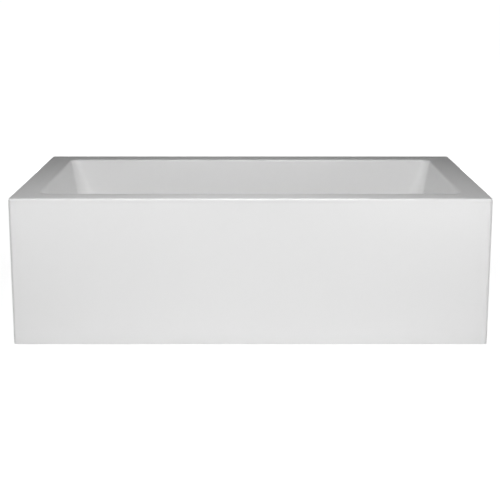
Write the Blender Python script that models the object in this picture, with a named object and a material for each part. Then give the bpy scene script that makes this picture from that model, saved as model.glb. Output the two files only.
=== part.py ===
"""Freestanding rectangular bathtub: an acrylic basin with a flat deck, bonded to a four-sided skirt,
standing on a steel frame with four screw feet, with its waste, push plug and overflow.

Metres, +Z up. The origin is on the floor under the middle of the tub; X runs along the length and the
front, where the overflow is, faces -Y.
"""

import math

import bmesh
import bpy
from mathutils import Matrix, Vector

# ---------------------------------------------------------------- driving dimensions
LENGTH = 1.676
WIDTH = 0.914
HEIGHT = 0.527
RIM = 0.094  # deck, from the outside face to the basin's edge
EDGE_R = 0.009  # deck to outside face
CORNER_R = 0.012  # upright corners
BASIN_EDGE_R = 0.008  # deck to basin wall
SHELL_T = 0.006  # acrylic with its glass-fibre backing
SKIRT_T = 0.005
LIP = 0.004  # straight part of the shell's turned-down edge
SKIRT_LIFT = 0.002  # the feet, not the skirt, carry the tub
GAP = 0.0003  # between pieces that touch

END_SLOPE = math.radians(12.5)  # basin walls, from upright
SIDE_SLOPE = math.radians(6.5)
BASIN_CORNER_R = 0.035  # in plan, at the deck
BASIN_LOW_CORNER_R = 0.105  # in plan, where the walls meet the floor's fillet
FLOOR_FILLET_R = 0.070
FLOOR_Z = 0.118  # basin floor beside the fillet
WASTE_RECESS_Z = 0.112  # seat of the waste flange
UNDERSIDE_Z = FLOOR_Z - 2 * SHELL_T  # the laminate is thicker below the floor

WASTE = Vector((0.0, -0.130, 0.0))
OVERFLOW_DROP = 0.085  # overflow's centre below the deck

# ---------------------------------------------------------------- frame and feet
BOARD_SIZE = (1.160, 0.480, 0.015)
BOARD_TOP = UNDERSIDE_Z - GAP
RAIL = 0.030  # square steel tube
RAIL_WALL = 0.002
RAIL_TOP = BOARD_TOP - BOARD_SIZE[2] - GAP
RAIL_BOTTOM = RAIL_TOP - RAIL
CROSS_RAIL_X = 0.500
CROSS_RAIL_LENGTH = 0.800
LONG_RAIL_Y = 0.210
FOOT_Y = 0.360
SCREW_Y = 0.180
SCREW_R = 0.003
QUARTERS = ((-1, -1), (-1, 1), (1, -1), (1, 1))  # sides in X and Y of the four feet, and of the screws
STUD_R = 0.006
STUD_CHAMFER = 0.0012
INSERT_R = 0.0085
BATTEN = (0.018, 0.040)  # thickness and height of the strip inside the skirt's lower edge
RIM_BOARD = (0.060, 0.018)  # width and thickness of the strip under the deck
BRACKET = (0.030, 0.003)  # width and thickness of the straps to the skirt

# ---------------------------------------------------------------- waste, plug and overflow
WASTE_HOLE_R = 0.026
FLANGE_R = 0.035
THROAT_R = 0.0195
SPIGOT_R = 0.0235
GASKET_T = 0.0012  # under the flange
WASHER_T = 0.0035  # under the tub
BOSS_TOP = 0.100  # of the spider's boss, which guides the plug's stem
TAIL_R = 0.019
PLUG_TRAVEL = 0.009
PLUG_R = 0.030
STEM_R = 0.004
HOSE_R = 0.0135
HOSE_WALL = 0.0019
HOSE_SPIGOT_R = 0.0098
HOSE_BORE_R = 0.0082
HOSE_INLET_Z = 0.045
COVER_R = 0.036

# ---------------------------------------------------------------- fineness of round shapes
CORNER_STEPS = 4  # in each quarter turn of a plan corner
EDGE_STEPS = 3  # round the basin's edge
FILLET_STEPS = 5
ROUND_STEPS = 24
SMALL_STEPS = 12  # studs, nuts and screws


# ---------------------------------------------------------------- shared modelling functions
def clear_scene():
    for obj in list(bpy.data.objects):
        bpy.data.objects.remove(obj, do_unlink=True)


def make_material(name, colour, roughness, metallic=0.0):
    material = bpy.data.materials.new(name)
    material.use_nodes = True
    shader = material.node_tree.nodes["Principled BSDF"]
    shader.inputs["Base Color"].default_value = (*colour, 1.0)
    shader.inputs["Roughness"].default_value = roughness
    shader.inputs["Metallic"].default_value = metallic
    return material


def add(name, data, material, location=(0, 0, 0), rotation=(0, 0, 0), parent=None):
    """A new object in the scene, placed in its parent's frame."""
    obj = bpy.data.objects.new(name, data)
    if material and not data.materials:
        data.materials.append(material)
    obj.location = location
    obj.rotation_euler = rotation
    obj.parent = parent
    bpy.context.scene.collection.objects.link(obj)
    return obj


def add_empty(name, location, rotation=(0, 0, 0)):
    empty = bpy.data.objects.new(name, None)
    empty.location = location
    empty.rotation_euler = rotation
    bpy.context.scene.collection.objects.link(empty)
    return empty


def finished(bm, name, sharp_degrees=35):
    """The bmesh as a mesh with its faces pointing out and its round faces shaded smooth."""
    bmesh.ops.recalc_face_normals(bm, faces=bm.faces)
    mesh = bpy.data.meshes.new(name)
    bm.to_mesh(mesh)
    bm.free()
    mesh.shade_smooth()
    mesh.set_sharp_from_angle(angle=math.radians(sharp_degrees))
    return mesh


def lofted(name, rings, closed=False):
    """A solid through rings of the same number of points; closed joins the last ring to the first."""
    bm = bmesh.new()
    loops = [[bm.verts.new(point) for point in ring] for ring in rings]
    count = len(rings[0])
    pairs = list(zip(loops, loops[1:] + loops[:1])) if closed else list(zip(loops, loops[1:]))
    for lower, upper in pairs:
        for i in range(count):
            j = (i + 1) % count
            bm.faces.new((lower[i], lower[j], upper[j], upper[i]))
    if not closed:
        bm.faces.new(loops[0])
        bm.faces.new(loops[-1])
    return finished(bm, name)


def circle(radius, z, steps=ROUND_STEPS):
    angles = [2 * math.pi * i / steps for i in range(steps)]
    return [(radius * math.cos(a), radius * math.sin(a), z) for a in angles]


def circle_pair(radius, low, high, steps=ROUND_STEPS):
    return [circle(radius, z, steps) for z in (low, high)]


def hexagon(across_flats, z, steps=SMALL_STEPS):
    """Points on a hexagon at the same angles as a circle's, so that the two can be lofted together."""
    points = []
    for i in range(steps):
        angle = 2 * math.pi * i / steps
        off_flat = (angle + math.pi / 6) % (math.pi / 3) - math.pi / 6
        radius = across_flats / 2 / math.cos(off_flat)
        points.append((radius * math.cos(angle), radius * math.sin(angle), z))
    return points


def turned(name, outline, steps=ROUND_STEPS):
    """A solid of revolution about Z from a closed outline of (radius, z) points."""
    bm = bmesh.new()
    verts = [bm.verts.new((r, 0, z)) for r, z in outline]
    on_axis = [r < 1e-9 for r, _ in outline]
    for i, vert in enumerate(verts):
        j = (i + 1) % len(verts)
        if not (on_axis[i] and on_axis[j]):
            bm.edges.new((vert, verts[j]))
    geometry = bm.verts[:] + bm.edges[:]
    turn = {"cent": (0, 0, 0), "axis": (0, 0, 1), "angle": 2 * math.pi, "steps": steps}
    bmesh.ops.spin(bm, geom=geometry, use_merge=True, **turn)
    bmesh.ops.remove_doubles(bm, verts=bm.verts, dist=1e-6)
    return finished(bm, name)


def block(name, low, high):
    """A rectangular solid between two corners."""
    bm = bmesh.new()
    size = Vector(high) - Vector(low)
    middle = (Vector(high) + Vector(low)) / 2
    matrix = Matrix.Translation(middle) @ Matrix.Diagonal((*size, 1.0))
    bmesh.ops.create_cube(bm, size=1.0, matrix=matrix)
    return finished(bm, name)


def bevelled(obj, width):
    modifier = obj.modifiers.new("Bevel", "BEVEL")
    modifier.width = width
    modifier.segments = 1
    modifier.limit_method = "ANGLE"


def helper(name, data, **placing):
    """A cutter or an inner piece of a union, which isn't part of the model by itself."""
    obj = add(name, data, None, **placing)
    obj.hide_render = True
    obj.display_type = "WIRE"
    return obj


def combine(obj, other, operation):
    modifier = obj.modifiers.new(operation.title(), "BOOLEAN")
    modifier.operation = operation
    modifier.solver = "EXACT"
    modifier.object = other


# ---------------------------------------------------------------- basin section
def opening_half(size):
    """From the middle to the line where the deck's plane would meet the basin wall."""
    return size / 2 - RIM


def wall_section(slope, offset):
    """Section of the basin from deck to floor, as (inset from the opening's line, z) points.

    offset 0 is the inside face, and SHELL_T the back of the shell.
    """
    edge_r = BASIN_EDGE_R - offset
    fillet_r = FLOOR_FILLET_R + offset
    tangent = BASIN_EDGE_R * math.tan((math.pi / 2 - slope) / 2)
    points = []
    for i in range(EDGE_STEPS + 1):
        turn = (math.pi / 2 - slope) * i / EDGE_STEPS
        points.append((-tangent + edge_r * math.sin(turn), HEIGHT - BASIN_EDGE_R + edge_r * math.cos(turn)))
    fillet_z = FLOOR_Z + FLOOR_FILLET_R
    fillet_inset = (HEIGHT - fillet_z) * math.tan(slope) + FLOOR_FILLET_R / math.cos(slope)
    for i in range(FILLET_STEPS + 1):
        turn = slope + (math.pi / 2 - slope) * i / FILLET_STEPS
        points.append((fillet_inset - fillet_r * math.cos(turn), fillet_z - fillet_r * math.sin(turn)))
    return points


def plan_ring(half_x, half_y, radius, end_z, side_z):
    """Rounded rectangle whose height runs from end_z on the short sides to side_z on the long ones."""
    ring = []
    for quarter in range(4):
        sign_x = (1, -1, -1, 1)[quarter]
        sign_y = (1, 1, -1, -1)[quarter]
        for i in range(CORNER_STEPS + 1):
            step = i if quarter % 2 == 0 else CORNER_STEPS - i
            angle = math.pi / 2 * step / CORNER_STEPS
            share = math.sin(angle) ** 2
            x = sign_x * (half_x - radius + radius * math.cos(angle))
            y = sign_y * (half_y - radius + radius * math.sin(angle))
            ring.append((x, y, end_z + (side_z - end_z) * share))
    return ring


def basin_rings(offset):
    """Rings from the deck down to the edge of the flat floor."""
    ends = wall_section(END_SLOPE, offset)
    sides = wall_section(SIDE_SLOPE, offset)
    fillet_start = EDGE_STEPS + 1
    start_inset = (ends[fillet_start][0] + sides[fillet_start][0]) / 2
    start_z = ends[fillet_start][1]
    rings = []
    for i, ((end_in, end_z), (side_in, side_z)) in enumerate(zip(ends, sides)):
        inset = (end_in + side_in) / 2
        if i < fillet_start:
            depth = (HEIGHT - end_z) / (HEIGHT - start_z)
            radius = BASIN_CORNER_R + (BASIN_LOW_CORNER_R - BASIN_CORNER_R) * depth - min(inset, 0)
        else:
            radius = BASIN_LOW_CORNER_R + offset - (inset - start_inset)
        half_x = opening_half(LENGTH) - end_in
        half_y = opening_half(WIDTH) - side_in
        rings.append(plan_ring(half_x, half_y, radius, end_z, side_z))
    return rings


def edge_rings(radius, inset, steps):
    """Rings round the tub's outside edge, from the foot of the lip up to the deck."""
    rings = [(inset, HEIGHT - EDGE_R - LIP)]
    for i in range(steps + 1):
        turn = math.pi / 2 * i / steps
        rings.append((EDGE_R - radius * math.cos(turn), HEIGHT - EDGE_R + radius * math.sin(turn)))
    return [plan_ring(LENGTH / 2 - d, WIDTH / 2 - d, CORNER_R - d, z, z) for d, z in rings]


def ring_about_waste(radius, z):
    """A circle round the waste with as many points as a plan ring, in step with its corners."""
    count = 4 * (CORNER_STEPS + 1)
    angles = [math.pi / 4 + 2 * math.pi * (i - CORNER_STEPS / 2) / count for i in range(count)]
    return [(radius * math.cos(a), WASTE.y + radius * math.sin(a), z) for a in angles]


def tub_shell(material, cutters):
    """Deck, walls and floor in one sheet, with a turned-down lip all round."""
    recess_r = FLANGE_R + 0.003
    inside = basin_rings(0.0)
    outside = basin_rings(SHELL_T)
    dish = [
        ring_about_waste(recess_r + 0.004, WASTE_RECESS_Z + 0.0025),
        ring_about_waste(recess_r, WASTE_RECESS_Z),
    ]
    underside = [(x, y, UNDERSIDE_Z) for x, y, _ in outside[-1]]
    rings = dish[::-1] + inside[::-1]
    rings += edge_rings(EDGE_R, 0.0, 4)[::-1]
    rings += edge_rings(EDGE_R - SKIRT_T, SKIRT_T, 2)
    rings += outside[:-1] + [underside]
    shell = add("tub_shell", lofted("tub_shell", rings), material)
    for cutter in cutters:
        combine(shell, cutter, "DIFFERENCE")
    return shell


def outer_skirt(material):
    """Four-sided skirt with round upright corners, butted to the shell's lip."""
    low, high = SKIRT_LIFT, HEIGHT - EDGE_R - LIP - GAP
    faces = [(0.0, low), (0.0, high), (SKIRT_T, high), (SKIRT_T, low)]
    rings = [plan_ring(LENGTH / 2 - d, WIDTH / 2 - d, CORNER_R - d, z, z) for d, z in faces]
    return add("outer_skirt", lofted("outer_skirt", rings, closed=True), material)


def strips_inside_skirt(name, width, low, high, end_gaps, material):
    """Straight strips against the inside of the skirt; end_gaps are those of the long and short ones."""
    out_x = LENGTH / 2 - SKIRT_T - GAP
    out_y = WIDTH / 2 - SKIRT_T - GAP
    long_half, short_half = out_x - end_gaps[0], out_y - width - end_gaps[1]
    strips = []
    for side, sign in (("front", -1), ("back", 1)):
        near, far = sorted((sign * out_y, sign * (out_y - width)))
        mesh = block(name, (-long_half, near, low), (long_half, far, high))
        strips.append(add(f"{name}_{side}", mesh, material))
    for side, sign in (("left", -1), ("right", 1)):
        near, far = sorted((sign * out_x, sign * (out_x - width)))
        mesh = block(name, (near, -short_half, low), (far, short_half, high))
        strips.append(add(f"{name}_{side}", mesh, material))
    return strips


def rim_boards(material):
    """Strips bonded under the deck, behind the joint between shell and skirt."""
    width, thick = RIM_BOARD
    top = HEIGHT - SHELL_T - GAP
    for strip in strips_inside_skirt("rim_board", width, top - thick, top, (0.012, 0.004), material):
        bevelled(strip, 0.003)


def skirt_battens(material):
    """Strips laminated inside the skirt's lower edge to keep it straight."""
    thick, height = BATTEN
    low = SKIRT_LIFT + 0.002
    strips_inside_skirt("skirt_batten", thick, low, low + height, (0.008, GAP), material)


def base_board(material, cutters):
    """Stiffening board bonded under the basin floor."""
    half_x, half_y = BOARD_SIZE[0] / 2, BOARD_SIZE[1] / 2
    low = BOARD_TOP - BOARD_SIZE[2]
    rings = [plan_ring(half_x, half_y, 0.04, z, z) for z in (low, BOARD_TOP)]
    board = add("base_board", lofted("base_board", rings), material)
    for cutter in cutters:
        combine(board, cutter, "DIFFERENCE")


# ---------------------------------------------------------------- frame
def square_tube(name, length):
    """Square steel tube along X, its middle at the origin."""
    rings = []
    half, inner = RAIL / 2, RAIL / 2 - RAIL_WALL
    for x, h in ((-length / 2, half), (length / 2, half), (length / 2, inner), (-length / 2, inner)):
        rings.append([(x, -h, -h), (x, h, -h), (x, h, h), (x, -h, h)])
    return lofted(name, rings, closed=True)


def frame_rails(material):
    """Two cross rails that carry the feet, and two long rails welded between them."""
    middle_z = RAIL_BOTTOM + RAIL / 2
    cross_mesh = square_tube("cross_rail", CROSS_RAIL_LENGTH)
    for name, side in (("left", -1), ("right", 1)):
        place = {"location": (side * CROSS_RAIL_X, 0, middle_z), "rotation": (0, 0, math.pi / 2)}
        rail = add(f"cross_rail_{name}", cross_mesh, material, **place)
        for end in (-1, 1):
            for hole, radius, top, y in (
                ("foot_hole", INSERT_R + GAP, middle_z, FOOT_Y),
                ("screw_hole", SCREW_R + 0.0005, RAIL_TOP + 0.01, SCREW_Y),
            ):
                data = lofted(hole, circle_pair(radius, RAIL_BOTTOM - 0.01, top, SMALL_STEPS))
                cutter = helper(hole, data, location=(side * CROSS_RAIL_X, end * y, 0))
                combine(rail, cutter, "DIFFERENCE")
    long_length = 2 * (CROSS_RAIL_X - RAIL / 2 - GAP)
    long_mesh = square_tube("long_rail", long_length)
    for name, side in (("front", -1), ("back", 1)):
        add(f"long_rail_{name}", long_mesh, material, location=(0, side * LONG_RAIL_Y, middle_z))


def skirt_brackets(material):
    """Straps from the cross rails to the strips inside the skirt's lower edge."""
    thick = BRACKET[1]
    leg_z = 0.014  # low end of the leg that is screwed to the batten
    side_height = 0.024  # of the end straps' face against the rail
    inside = SKIRT_T + BATTEN[0] + 2 * GAP
    reach, start, top = WIDTH / 2 - inside, CROSS_RAIL_LENGTH / 2 - 0.045, RAIL_TOP + GAP + thick
    over_rail = [(start, top - thick), (start, top), (reach, top), (reach, leg_z)]
    over_rail += [(reach - thick, leg_z), (reach - thick, top - thick)]
    reach, start, top = LENGTH / 2 - inside, CROSS_RAIL_X + RAIL / 2 + GAP, RAIL_TOP - 0.002
    beside_rail = [(start, top - side_height), (start, top), (reach, top), (reach, leg_z)]
    beside_rail += [(reach - thick, leg_z), (reach - thick, top - thick), (start + thick, top - thick)]
    beside_rail += [(start + thick, top - side_height)]
    for row, turn in (("front", -math.pi / 2), ("back", math.pi / 2)):
        for column, side in (("left", -1), ("right", 1)):
            place = {"location": (side * CROSS_RAIL_X, 0, 0), "rotation": (0, 0, turn)}
            add(f"skirt_bracket_{row}_{column}", strap("skirt_bracket", over_rail), material, **place)
    for column, turn in (("left", math.pi), ("right", 0.0)):
        add(f"end_bracket_{column}", strap("end_bracket", beside_rail), material, rotation=(0, 0, turn))


def strap(name, section):
    """Bent flat bar with this section of (x, z) points, centred on Y."""
    half = BRACKET[0] / 2
    return lofted(name, [[(x, y, z) for x, z in section] for y in (-half, half)])


def frame_screws(material):
    """Hexagon-headed screws up through the cross rails into the board."""
    head_top, tip_z = RAIL_BOTTOM - GAP, BOARD_TOP - 0.004
    rings = [hexagon(0.010, head_top - 0.004), hexagon(0.010, head_top)]
    shank = [(SCREW_R, head_top), (SCREW_R, tip_z - 0.004), (0.0008, tip_z)]
    rings += [circle(radius, z, SMALL_STEPS) for radius, z in shank]
    mesh = lofted("frame_screw", rings)
    for number, (x, y) in enumerate(QUARTERS, start=1):
        add(f"frame_screw_{number}", mesh, material, location=(x * CROSS_RAIL_X, y * SCREW_Y, 0))


# ---------------------------------------------------------------- feet
def feet(rubber, zinc):
    """Screw feet: a swivel pad, a stud with a spanner collar, a lock nut and a threaded insert."""
    pad = turned(
        "foot_pad",
        [(0, 0), (0.0245, 0), (0.025, 0.0012), (0.0245, 0.0065), (0.0125, 0.0105), (0.0115, 0.022)]
        + [(0.0068, 0.022), (0.0068, 0.008), (0, 0.008)],
    )
    collar = (0.026, 0.034)
    stud_top = RAIL_TOP - 0.0105
    stud_rings = circle_pair(STUD_R, 0.0085, collar[0], SMALL_STEPS)
    stud_rings += [hexagon(0.017, collar[0]), hexagon(0.017, collar[1])]
    stud_rings += circle_pair(STUD_R, collar[1], stud_top - STUD_CHAMFER, SMALL_STEPS)
    stud_rings += [circle(STUD_R - STUD_CHAMFER, stud_top, SMALL_STEPS)]
    stud = lofted("foot_stud", stud_rings)
    bore = STUD_R + 0.0005
    seat, insert_top = RAIL_BOTTOM - GAP, RAIL_BOTTOM + 0.012
    flange_low = seat - 0.0015
    insert = turned(
        "foot_insert",
        [(bore, flange_low), (0.012, flange_low), (0.012, seat), (INSERT_R, seat)]
        + [(INSERT_R, insert_top), (bore, insert_top)],
        SMALL_STEPS,
    )
    nut_top = flange_low - GAP
    nut_low = nut_top - 0.008
    nut_rings = [hexagon(0.018, nut_low), hexagon(0.018, nut_top)]
    nut_rings += circle_pair(bore, nut_top, nut_low, SMALL_STEPS)
    lock_nut = lofted("lock_nut", nut_rings, closed=True)
    for number, (x, y) in enumerate(QUARTERS, start=1):
        axis = add_empty(f"foot_axis_{number}", (x * CROSS_RAIL_X, y * FOOT_Y, 0))
        add(f"foot_pad_{number}", pad, rubber, parent=axis)
        add(f"foot_stud_{number}", stud, zinc, parent=axis)
        add(f"foot_insert_{number}", insert, zinc, parent=axis)
        add(f"lock_nut_{number}", lock_nut, zinc, parent=axis)


# ---------------------------------------------------------------- waste and plug
def waste_fitting(chrome, rubber, plastic):
    """Flange with a spider, its two seals, and the body, nut and tail pipe below the tub."""
    axis = add_empty("waste_axis", WASTE)
    seat, spigot_low = WASTE_RECESS_Z, 0.088
    flange_low = seat + 2 * GAP + GASKET_T
    flange = turned(
        "waste_flange",
        [(FLANGE_R, flange_low), (FLANGE_R, seat + 0.0028), (0.0335, seat + 0.0034), (0.0240, seat + 0.0028)]
        + [(THROAT_R, seat - 0.0015), (THROAT_R, spigot_low), (SPIGOT_R, spigot_low), (SPIGOT_R, flange_low)],
    )
    flange = add("waste_flange", flange, chrome, parent=axis)
    reach = (THROAT_R + SPIGOT_R) / 2
    for name, turn in (("spoke_a", 0), ("spoke_b", math.pi / 2)):
        spoke = block(name, (-reach, -0.0015, 0.090), (reach, 0.0015, 0.096))
        combine(flange, helper(name, spoke, parent=axis, rotation=(0, 0, turn)), "UNION")
    boss = lofted("boss", circle_pair(0.008, spigot_low + 0.0005, BOSS_TOP))
    combine(flange, helper("boss", boss, parent=axis), "UNION")
    stem_hole = lofted("stem_hole", circle_pair(STEM_R + 0.0004, spigot_low - 0.01, BOSS_TOP + 0.01))
    combine(flange, helper("stem_hole", stem_hole, parent=axis), "DIFFERENCE")

    low, high = seat + GAP, seat + GAP + GASKET_T
    upper = [(0.0265, low), (0.0335, low), (0.0335, high), (0.0265, high)]
    add("waste_gasket", turned("waste_gasket", upper), rubber, parent=axis)
    high = UNDERSIDE_Z - GAP
    low = high - WASHER_T
    lower = [(0.0265, low), (0.036, low), (0.036, high), (0.0265, high)]
    add("waste_washer", turned("waste_washer", lower), rubber, parent=axis)

    top = low - GAP
    body = turned(
        "waste_body",
        [(0.024, top), (0.037, top), (0.037, top - 0.005), (0.0305, top - 0.008), (0.0305, 0.038)]
        + [(0.0225, 0.034), (0.0225, 0.022), (0.0196, 0.022), (0.0196, 0.036), (0.0265, 0.040)]
        + [(0.0265, 0.084), (0.024, 0.086)],
    )
    body = add("waste_body", body, plastic, parent=axis)
    inlet_turn = {"location": (0, 0, HOSE_INLET_Z), "rotation": (math.pi / 2, 0, 0)}
    inlet = lofted("hose_inlet", circle_pair(HOSE_SPIGOT_R, 0.0285, 0.056))
    combine(body, helper("hose_inlet", inlet, parent=axis, **inlet_turn), "UNION")
    inlet_bore = lofted("hose_inlet_bore", circle_pair(HOSE_BORE_R, 0.020, 0.060))
    combine(body, helper("hose_inlet_bore", inlet_bore, parent=axis, **inlet_turn), "DIFFERENCE")

    inner, low, high = TAIL_R - 0.0018, 0.004, 0.0335
    tail_outline = [(inner, low), (TAIL_R, low), (TAIL_R, high), (inner, high)]
    add("tail_pipe", turned("tail_pipe", tail_outline), chrome, parent=axis)
    inner, low, step, high = TAIL_R + 0.0004, 0.0155, 0.0215, 0.0325
    nut_outline = [(inner, low), (0.028, low), (0.028, high), (0.0229, high), (0.0229, step), (inner, step)]
    add("tail_nut", turned("tail_nut", nut_outline), plastic, parent=axis)


def plug(chrome, rubber, steel):
    """Push plug standing open: cap and hub, seal, stem and return spring."""
    axis = add_empty("plug_axis", WASTE)
    low = WASTE_RECESS_Z + 0.0038 + PLUG_TRAVEL
    cap_outline = [(0, low + 0.0042), (0.020, low + 0.0040), (0.0285, low + 0.0030), (PLUG_R, low + 0.0016)]
    hub_low = low - 0.0073
    cap_outline += [(0.0292, low), (0.0088, low), (0.0088, hub_low), (STEM_R + GAP, hub_low)]
    cap_outline += [(STEM_R + GAP, low - 0.0010), (0, low - 0.0010)]
    add("plug_cap", turned("plug_cap", cap_outline), chrome, parent=axis)
    seal_top = low - GAP
    seal = [(0.0092, seal_top - 0.0036), (0.0205, seal_top - 0.0036), (0.0235, seal_top - 0.0008)]
    seal += [(0.0235, seal_top), (0.0092, seal_top)]
    add("plug_seal", turned("plug_seal", seal), rubber, parent=axis)
    stem_top = low - 0.0010 - GAP
    stem = lofted("plug_stem", [circle(0.003, 0.0835), circle(STEM_R, 0.0845), circle(STEM_R, stem_top)])
    add("plug_stem", stem, steel, parent=axis)
    add("plug_spring", coil_spring(BOSS_TOP + 0.0012, hub_low - GAP), steel, parent=axis)


def coil_spring(low, high):
    """Compression spring round the stem, between the flange's boss and the cap's hub."""
    turns, per_turn = 4.5, 10
    coil_r, wire_r = 0.0066, 0.0006
    data = bpy.data.curves.new("plug_spring", "CURVE")
    data.dimensions = "3D"
    data.bevel_depth = wire_r
    data.bevel_resolution = 0
    data.use_fill_caps = True
    count = int(turns * per_turn) + 1
    spline = data.splines.new("POLY")
    spline.points.add(count - 1)
    for i in range(count):
        angle = 2 * math.pi * i / per_turn
        z = low + wire_r + (high - low - 2 * wire_r) * i / (count - 1)
        spline.points[i].co = (coil_r * math.cos(angle), coil_r * math.sin(angle), z, 1)
    return data


# ---------------------------------------------------------------- overflow
def overflow_axis():
    """Frame on the front wall's inside face: local +Z into the basin, local +Y down the wall."""
    inset = OVERFLOW_DROP * math.tan(SIDE_SLOPE)
    at = (0, -(opening_half(WIDTH) - inset), HEIGHT - OVERFLOW_DROP)
    return add_empty("overflow_axis", at, (SIDE_SLOPE - math.pi / 2, 0, 0))


def overflow_fitting(axis, chrome, rubber, plastic):
    """Cover and threaded insert inside the basin, seal and elbow behind its wall."""
    insert = turned(
        "overflow_insert",
        [(0.033, GAP), (0.033, 0.0018), (0.032, 0.003), (0.0205, 0.003), (0.0205, -0.019), (SPIGOT_R, -0.019)]
        + [(SPIGOT_R, GAP)],
    )
    add("overflow_insert", insert, chrome, parent=axis)

    face_z, wall_low = 0.0150, 0.0036
    cover = turned(
        "overflow_cover",
        [(0, face_z), (0.0335, face_z), (COVER_R, face_z - 0.0022), (COVER_R, wall_low), (0.0342, wall_low)]
        + [(0.0342, face_z - 0.0030), (0, face_z - 0.0030)],
    )
    cover = add("overflow_cover", cover, chrome, parent=axis)
    slot = block("inlet_slot", (-0.018, 0.020, wall_low - 0.002), (0.018, 0.040, face_z - 0.0045))
    combine(cover, helper("inlet_slot", slot, parent=axis), "DIFFERENCE")
    for i in range(3):
        leg = block(f"cover_leg_{i}", (0.0168, -0.003, -0.008), (0.0190, 0.003, face_z - 0.0020))
        turn = math.pi / 2 + 2 * math.pi * (i + 0.5) / 3
        combine(cover, helper(f"cover_leg_{i}", leg, parent=axis, rotation=(0, 0, turn)), "UNION")

    back = -SHELL_T - GAP
    gasket = [(0.027, back - 0.004), (0.036, back - 0.004), (0.036, back), (0.027, back)]
    add("overflow_gasket", turned("overflow_gasket", gasket), rubber, parent=axis)

    face = back - 0.004 - GAP
    rear = -0.049
    elbow = turned(
        "overflow_elbow",
        [(0.036, face), (0.036, face - 0.004), (0.0285, face - 0.006), (0.0285, rear + 0.003), (0.0255, rear)]
        + [(0, rear), (0, rear + 0.003), (0.0255, rear + 0.003), (0.0255, -0.022), (0.0240, -0.021)]
        + [(0.0240, face)],
    )
    elbow = add("overflow_elbow", elbow, plastic, parent=axis)
    hose_top = hose_route()[0]
    spigot = lofted("elbow_spigot", circle_pair(HOSE_SPIGOT_R, -0.024, 0.0145))
    combine(elbow, helper("elbow_spigot", spigot, location=hose_top), "UNION")
    bore = lofted("elbow_bore", circle_pair(HOSE_BORE_R, -0.030, 0.030))
    combine(elbow, helper("elbow_bore", bore, location=hose_top), "DIFFERENCE")


def hose_route():
    """Centre line of the overflow hose, from under the elbow, below the front rail, to the waste body."""
    return [
        (0.000, -0.3875, 0.4030),
        (0.000, -0.3875, 0.3600),
        (0.009, -0.3920, 0.2650),
        (0.012, -0.3920, 0.1900),
        (0.006, -0.3800, 0.1120),
        (0.000, -0.3420, 0.0630),
        (0.000, -0.2850, HOSE_INLET_Z),
        (0.000, -0.2250, HOSE_INLET_Z),
        (0.000, -0.1640, HOSE_INLET_Z),
    ]


def smooth_route(points, per_span):
    """Points read from a curve through the route's own points (Catmull-Rom)."""
    p = [Vector(q) for q in points]
    p = [2 * p[0] - p[1]] + p + [2 * p[-1] - p[-2]]
    found = []
    for i in range(1, len(p) - 2):
        for k in range(per_span):
            t = k / per_span
            a, b, c, d = p[i - 1], p[i], p[i + 1], p[i + 2]
            ends = 2 * b + (c - a) * t
            bend = (2 * a - 5 * b + 4 * c - d) * t * t + (3 * b - a - 3 * c + d) * t * t * t
            found.append((ends + bend) / 2)
    return found + [p[-2]]


def overflow_hose(hose_material, plastic):
    """Hollow hose from elbow to waste body, with a nut on each end."""
    data = bpy.data.curves.new("overflow_hose", "CURVE")
    data.dimensions = "3D"
    data.bevel_depth = HOSE_R
    data.bevel_resolution = 2
    route = smooth_route(hose_route(), 2)
    spline = data.splines.new("POLY")
    spline.points.add(len(route) - 1)
    for point, at in zip(spline.points, route):
        point.co = (*at, 1)
    hose = add("overflow_hose", data, hose_material)
    wall = hose.modifiers.new("Wall", "SOLIDIFY")
    wall.thickness = HOSE_WALL
    wall.offset = -1

    bore = HOSE_R + 0.0012
    outline = [(bore, -0.020), (0.0190, -0.020), (0.0200, -0.018), (0.0200, -0.001), (0.0190, 0.001)]
    nut = turned("hose_nut", outline + [(bore, 0.001)])
    top = Vector(hose_route()[0])
    add("hose_nut_top", nut, plastic, location=top)
    end = Vector(hose_route()[-1])
    add("hose_nut_bottom", nut, plastic, location=end, rotation=(-math.pi / 2, 0, 0))


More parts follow.
